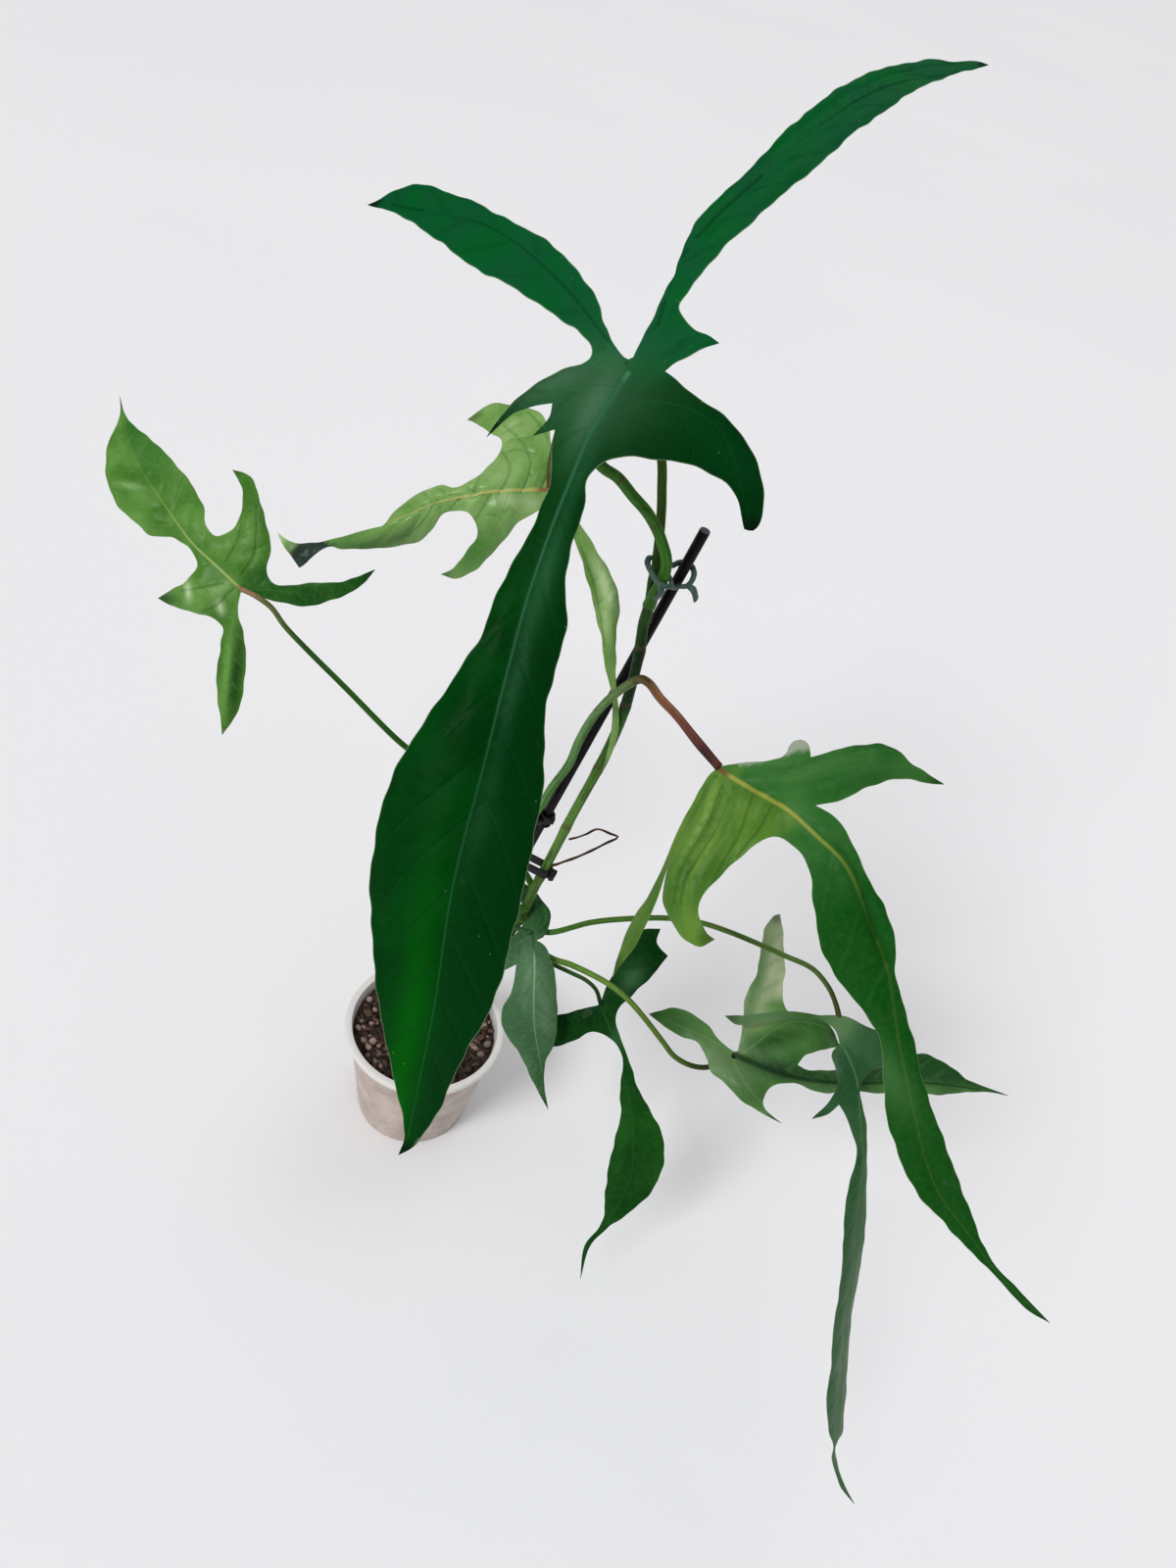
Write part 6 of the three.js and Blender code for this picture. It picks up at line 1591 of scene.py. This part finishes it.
def mix_material():
    """Dark damp bark and grey-pink pumice, each grain a little different."""
    p = Paint("bark_and_pumice")
    place, shade, stone = p.place(), p.value("shade"), p.value("stone")
    grain = p.noise(place, 900, 5, 0.7)
    bark = p.mix(shade, 0x211A17, 0x6A5044)
    bark = p.mix(p.times(p.step(grain, 0.45, 0.7), 0.6), bark, 0x7A6152)
    pumice = p.mix(shade, 0x7E7068, 0xBAA094)
    pumice = p.mix(p.times(p.step(grain, 0.5, 0.35), 0.7), pumice, 0x5C5049)
    colour = p.mix(stone, bark, pumice)
    return p.finish(colour, p.step(grain, 0.3, 0.7, 0.62, 0.95), grain, 0.6)


soil = mix_material()
mix = solid("bark_and_pumice_fill", merge(mix_bed(), chunks()), ["potting_mix"], soil)
keep_sharp(mix, 38)

# Ties


def along_stake(part, height):
    """Turns a part drawn upright at the origin to lie along the stake at a height."""
    points, faces, values = part
    axis = Vector(stake_axis)
    turn = np.array(Vector((0, 0, 1)).rotation_difference(axis).to_matrix())
    foot = np.array(STAKE["foot"], float)
    centre = foot + stake_axis * (height - foot[2]) / stake_axis[2]
    return points @ turn.T + centre, faces, values


def moulded(name, colour, other, gloss, grain):
    """Moulded plastic: a faint mottle, dull patches and a fine skin."""
    p = Paint(name)
    place = p.place()
    patch = p.noise(place, 60, 4)
    skin = p.noise(place, 900, 3, 0.6)
    tone = p.mix(p.step(patch, 0.35, 0.65), colour, other)
    return p.finish(tone, p.step(patch, 0.3, 0.7, gloss, gloss + 0.18), skin, grain)


tie_skin = moulded("soft_green_plastic", 0x405E54, 0x60796E, 0.42, 0.15)
black_skin = moulded("black_plastic", 0x0C0A0E, 0x1E1A20, 0.3, 0.1)


def top_tie():
    """A soft wire tie: a ring round two stalks, a hook round the stake, and two flat tails."""
    ring = [
        (66, 1, 529), (69, -5, 528), (74, -10, 526), (79, -10, 525), (81, -5, 524), (78, 2, 525),
        (73, 7, 527), (67, 7, 529),
    ]
    hook = [
        (79, -9, 525), (82, -3, 521), (85, 5, 518), (89, 6, 519), (91, 9, 521), (91, 13, 524),
        (88, 16, 526), (83, 16, 526), (79, 12, 525),
    ]
    tails = [
        [(75, -10, 526), (77, -11, 521), (75, -12, 517)],
        [(89, 7, 519), (93, 6, 518), (96, 6, 513)],
    ]

    def bead(share):
        return 1.6 + 0.06 * np.sin(90 * share)

    def strap(share):
        return np.full(len(share), 0.7)

    def widen(share):
        return 1.4 + 1.9 * rise(share, 0, 0.6)

    def flatten(share):
        return 1 - 0.68 * rise(share, 0, 0.6)

    parts = [rod(ring, bead, 12, 1, closed=True, flat=strap), rod(hook, bead, 12, 1, flat=strap)]
    parts += [rod(tail, widen, 12, 0.8, flat=flatten) for tail in tails]
    points, faces, _ = merge(*parts)
    return points, faces, {}


solid("soft_tie", top_tie(), ["top_tie"], tie_skin)


def ring_of(radius, low, high, wall, sides=28):
    """A short tube with rounded ends round the Z axis."""
    r = min(wall, high - low) * 0.3
    section = [
        (radius - wall, low + r), (radius - wall + r, low), (radius - r, low), (radius, low + r),
        (radius, high - r), (radius - r, high), (radius - wall + r, high), (radius - wall, high - r),
    ]
    points = [(s * math.cos(a), s * math.sin(a), z) for a in circle(sides) for s, z in section]
    return np.array(points), ring_faces(sides, len(section), closed=True, inward=True), {}


def block(low, high, r):
    """A box with every edge rounded by two facets."""
    low, high = np.array(low, float), np.array(high, float)
    points, faces = [], []
    grid = [np.array([a, a + r * 0.3, a + r, b - r, b - r * 0.3, b]) for a, b in zip(low, high)]
    index = {}
    for axis in range(3):
        one, two = [i for i in range(3) if i != axis]
        for end in (0, 5):
            for i in range(5):
                for j in range(5):
                    corners = []
                    for di, dj in ((0, 0), (1, 0), (1, 1), (0, 1)):
                        key = [0, 0, 0]
                        key[axis], key[one], key[two] = end, i + di, j + dj
                        key = tuple(key)
                        if key not in index:
                            index[key] = len(points)
                            p = np.array([grid[k][key[k]] for k in range(3)])
                            core = np.clip(p, low + r, high - r)
                            off = p - core
                            size = np.linalg.norm(off)
                            points.append(core + off / size * r if size > r else p)
                        corners.append(index[key])
                    flip = (end == 5) != (axis == 1)
                    faces.append(tuple(corners if flip else reversed(corners)))
    return np.array(points), faces, {}


CLIP_BLOCKS = [  # jaw, two ears, a pin and a foot: two opposite corners and the rounding
    ((-5.4, -8, -2.4), (-0.6, -4.2, 2.4), 0.6), ((-5.2, -8.4, 0.6), (-3.8, -3, 2.2), 0.4),
    ((-5.2, -8.4, -2.2), (-3.8, -3, -0.6), 0.4), ((3.6, -2.2, -1.8), (6.4, 1.8, 1.8), 0.5),
    ((-2.2, 3.8, -1.6), (1.6, 6.2, 1.6), 0.5),
]


def clip():
    """The clip's collar on the stake, with a bead at each end, and the blocks that stand on it."""
    r, half, wall = CLIP["radius"], CLIP["length"] / 2, CLIP["wall"]
    collar = [
        ring_of(r, -half, half, wall), ring_of(r + 0.5, -half, -half + wall, wall),
        ring_of(r + 0.5, half - wall, half, wall),
    ]
    return merge(*collar, *(block(*corners) for corners in CLIP_BLOCKS))


piece = solid("small_clip", along_stake(clip(), CLIP["height"]), ["stake_clip"], black_skin)
keep_sharp(piece, 60)


def band():
    """The ribbed black band round both the stake and the stem, with its locking head."""
    r, apart, half = BAND["radius"], BAND["apart"], BAND["width"] / 2
    line = []  # round the stake, over to the stem, round it and back: x, y and the way out
    for centre, other, first in ((0, apart, math.pi / 2), (apart, 0, -math.pi / 2)):
        for k in range(ARC_PARTS + 1):
            a = first + math.pi * k / ARC_PARTS
            line.append((centre + r * math.cos(a), r * math.sin(a), a))
        for k in range(1, STRAIGHT_PARTS):
            line.append((centre + (other - centre) * k / STRAIGHT_PARTS, r * math.sin(a), a))
    points = []
    for i, (x, y, a) in enumerate(line):
        tooth = BAND["tooth"] if i % 2 else 0
        section = [
            (-0.5, -half), (0.35, -half), (0.45, -half + 0.7), (0.45 + tooth, -half + 0.9),
            (0.45 + tooth, half - 0.9), (0.45, half - 0.7), (0.35, half), (-0.5, half),
        ]
        points += [(x + off * math.cos(a), y + off * math.sin(a), z) for off, z in section]
    faces = ring_faces(len(line), len(section), closed=True, inward=True)
    head = block((apart + r - 0.2, -3.2, -half - 0.7), (apart + r + 3.6, 1.2, half + 0.7), 0.6)
    tail = block((apart + r + 0.6, -5.6, -half + 1), (apart + r + 2, 2.4, half - 1), 0.4)
    points, faces, _ = merge((np.array(points), faces, {}), head, tail)
    c, s = math.cos(BAND["turn"]), math.sin(BAND["turn"])
    x, y, z = points.T
    return np.c_[x * c - y * s, x * s + y * c, z], faces, {}


piece = solid("ribbed_band", along_stake(band(), BAND["height"]), ["lower_tie"], black_skin)
keep_sharp(piece, 45)

# Floor, light and camera


def floor():
    """A pale floor that reaches to the horizon."""
    mesh = bpy.data.meshes.new("floor")
    far = 30  # metres
    corners = [(-far, -far, 0), (far, -far, 0), (far, far, 0), (-far, far, 0)]
    mesh.from_pydata(corners, [], [(0, 1, 2, 3)])
    p = Paint("pale_floor")
    cloud = p.noise(p.place(), 0.8, 2)
    colour = p.mix(p.step(cloud, 0.3, 0.7), 0xF3F2F3, 0xF1F1F2)
    mesh.materials.append(p.finish(colour, 0.7))
    plane = add_object("floor", mesh)


floor()


def soft_light(name, at, towards, angle, strength):
    """Light from one direction, as soft as a lamp that wide in degrees."""
    lamp = bpy.data.lights.new(name, "SUN")
    lamp.energy, lamp.angle = strength, math.radians(angle)
    holder = add_object(name, lamp)
    holder.location = at
    holder.rotation_euler = (Vector(towards) - Vector(at)).to_track_quat("-Z", "Y").to_euler()


PLANT_MIDDLE = (0.03, 0, 0.4)
soft_light("key_light", (-0.9, -1.3, 1.9), PLANT_MIDDLE, 20, 1.5)
soft_light("back_light", (0.7, 1.2, 1.8), PLANT_MIDDLE, 45, 0.3)


def studio():
    """Pale walls all round: even light from above, and one soft bright wall that gloss picks up."""
    world = bpy.data.worlds.new("studio")
    world.use_nodes = True
    tree = Nodes(world.node_tree)
    direction = tree.add("TexCoord").outputs["Generated"]
    ray = tree.add("LightPath").outputs

    def wall(aim, low, high, dim, bright):
        """Brightness that rises smoothly towards the direction a wall faces."""
        towards = tree.add("VectorMath", operation="DOT_PRODUCT")
        tree.put(towards.inputs[0], direction)
        tree.put(towards.inputs[1], aim)
        return tree.step(towards.outputs["Value"], low, high, dim, bright)

    def choose(share, one, other):
        node = tree.add("Mix", data_type="FLOAT")
        for i, value in ((0, share), (2, one), (3, other)):
            tree.put(node.inputs[i], value)
        return node.outputs[0]

    even = wall((-0.1, -0.2, 0.97), -0.4, 0.9, *LIGHT["walls"])
    gloss = wall((-0.07, 0.15, 0.98), 0.82, 1.0, *LIGHT["gloss"])
    light = choose(ray["Is Glossy Ray"], even, gloss)
    # the horizon behind the floor is as pale as the floor
    background = tree.nodes["Background"]
    tree.put(background.inputs[1], choose(ray["Is Camera Ray"], light, LIGHT["horizon"]))
    tree.put(background.inputs[0], LIGHT["colour"])
    bpy.context.scene.world = world


studio()
bpy.context.scene.view_settings.view_transform = "Standard"
bpy.context.scene.view_settings.gamma = GAMMA

eye = bpy.data.cameras.new("camera")
eye.lens = LENS["length"]
eye.sensor_width = LENS["sensor"]
camera = add_object("camera", eye)
turn = Matrix((CAMERA_RIGHT, CAMERA_UP, CAMERA_RIGHT.cross(CAMERA_UP))).transposed()
camera.matrix_world = Matrix.Translation(CAMERA_AT) @ turn.to_4x4()
bpy.context.scene.camera = camera
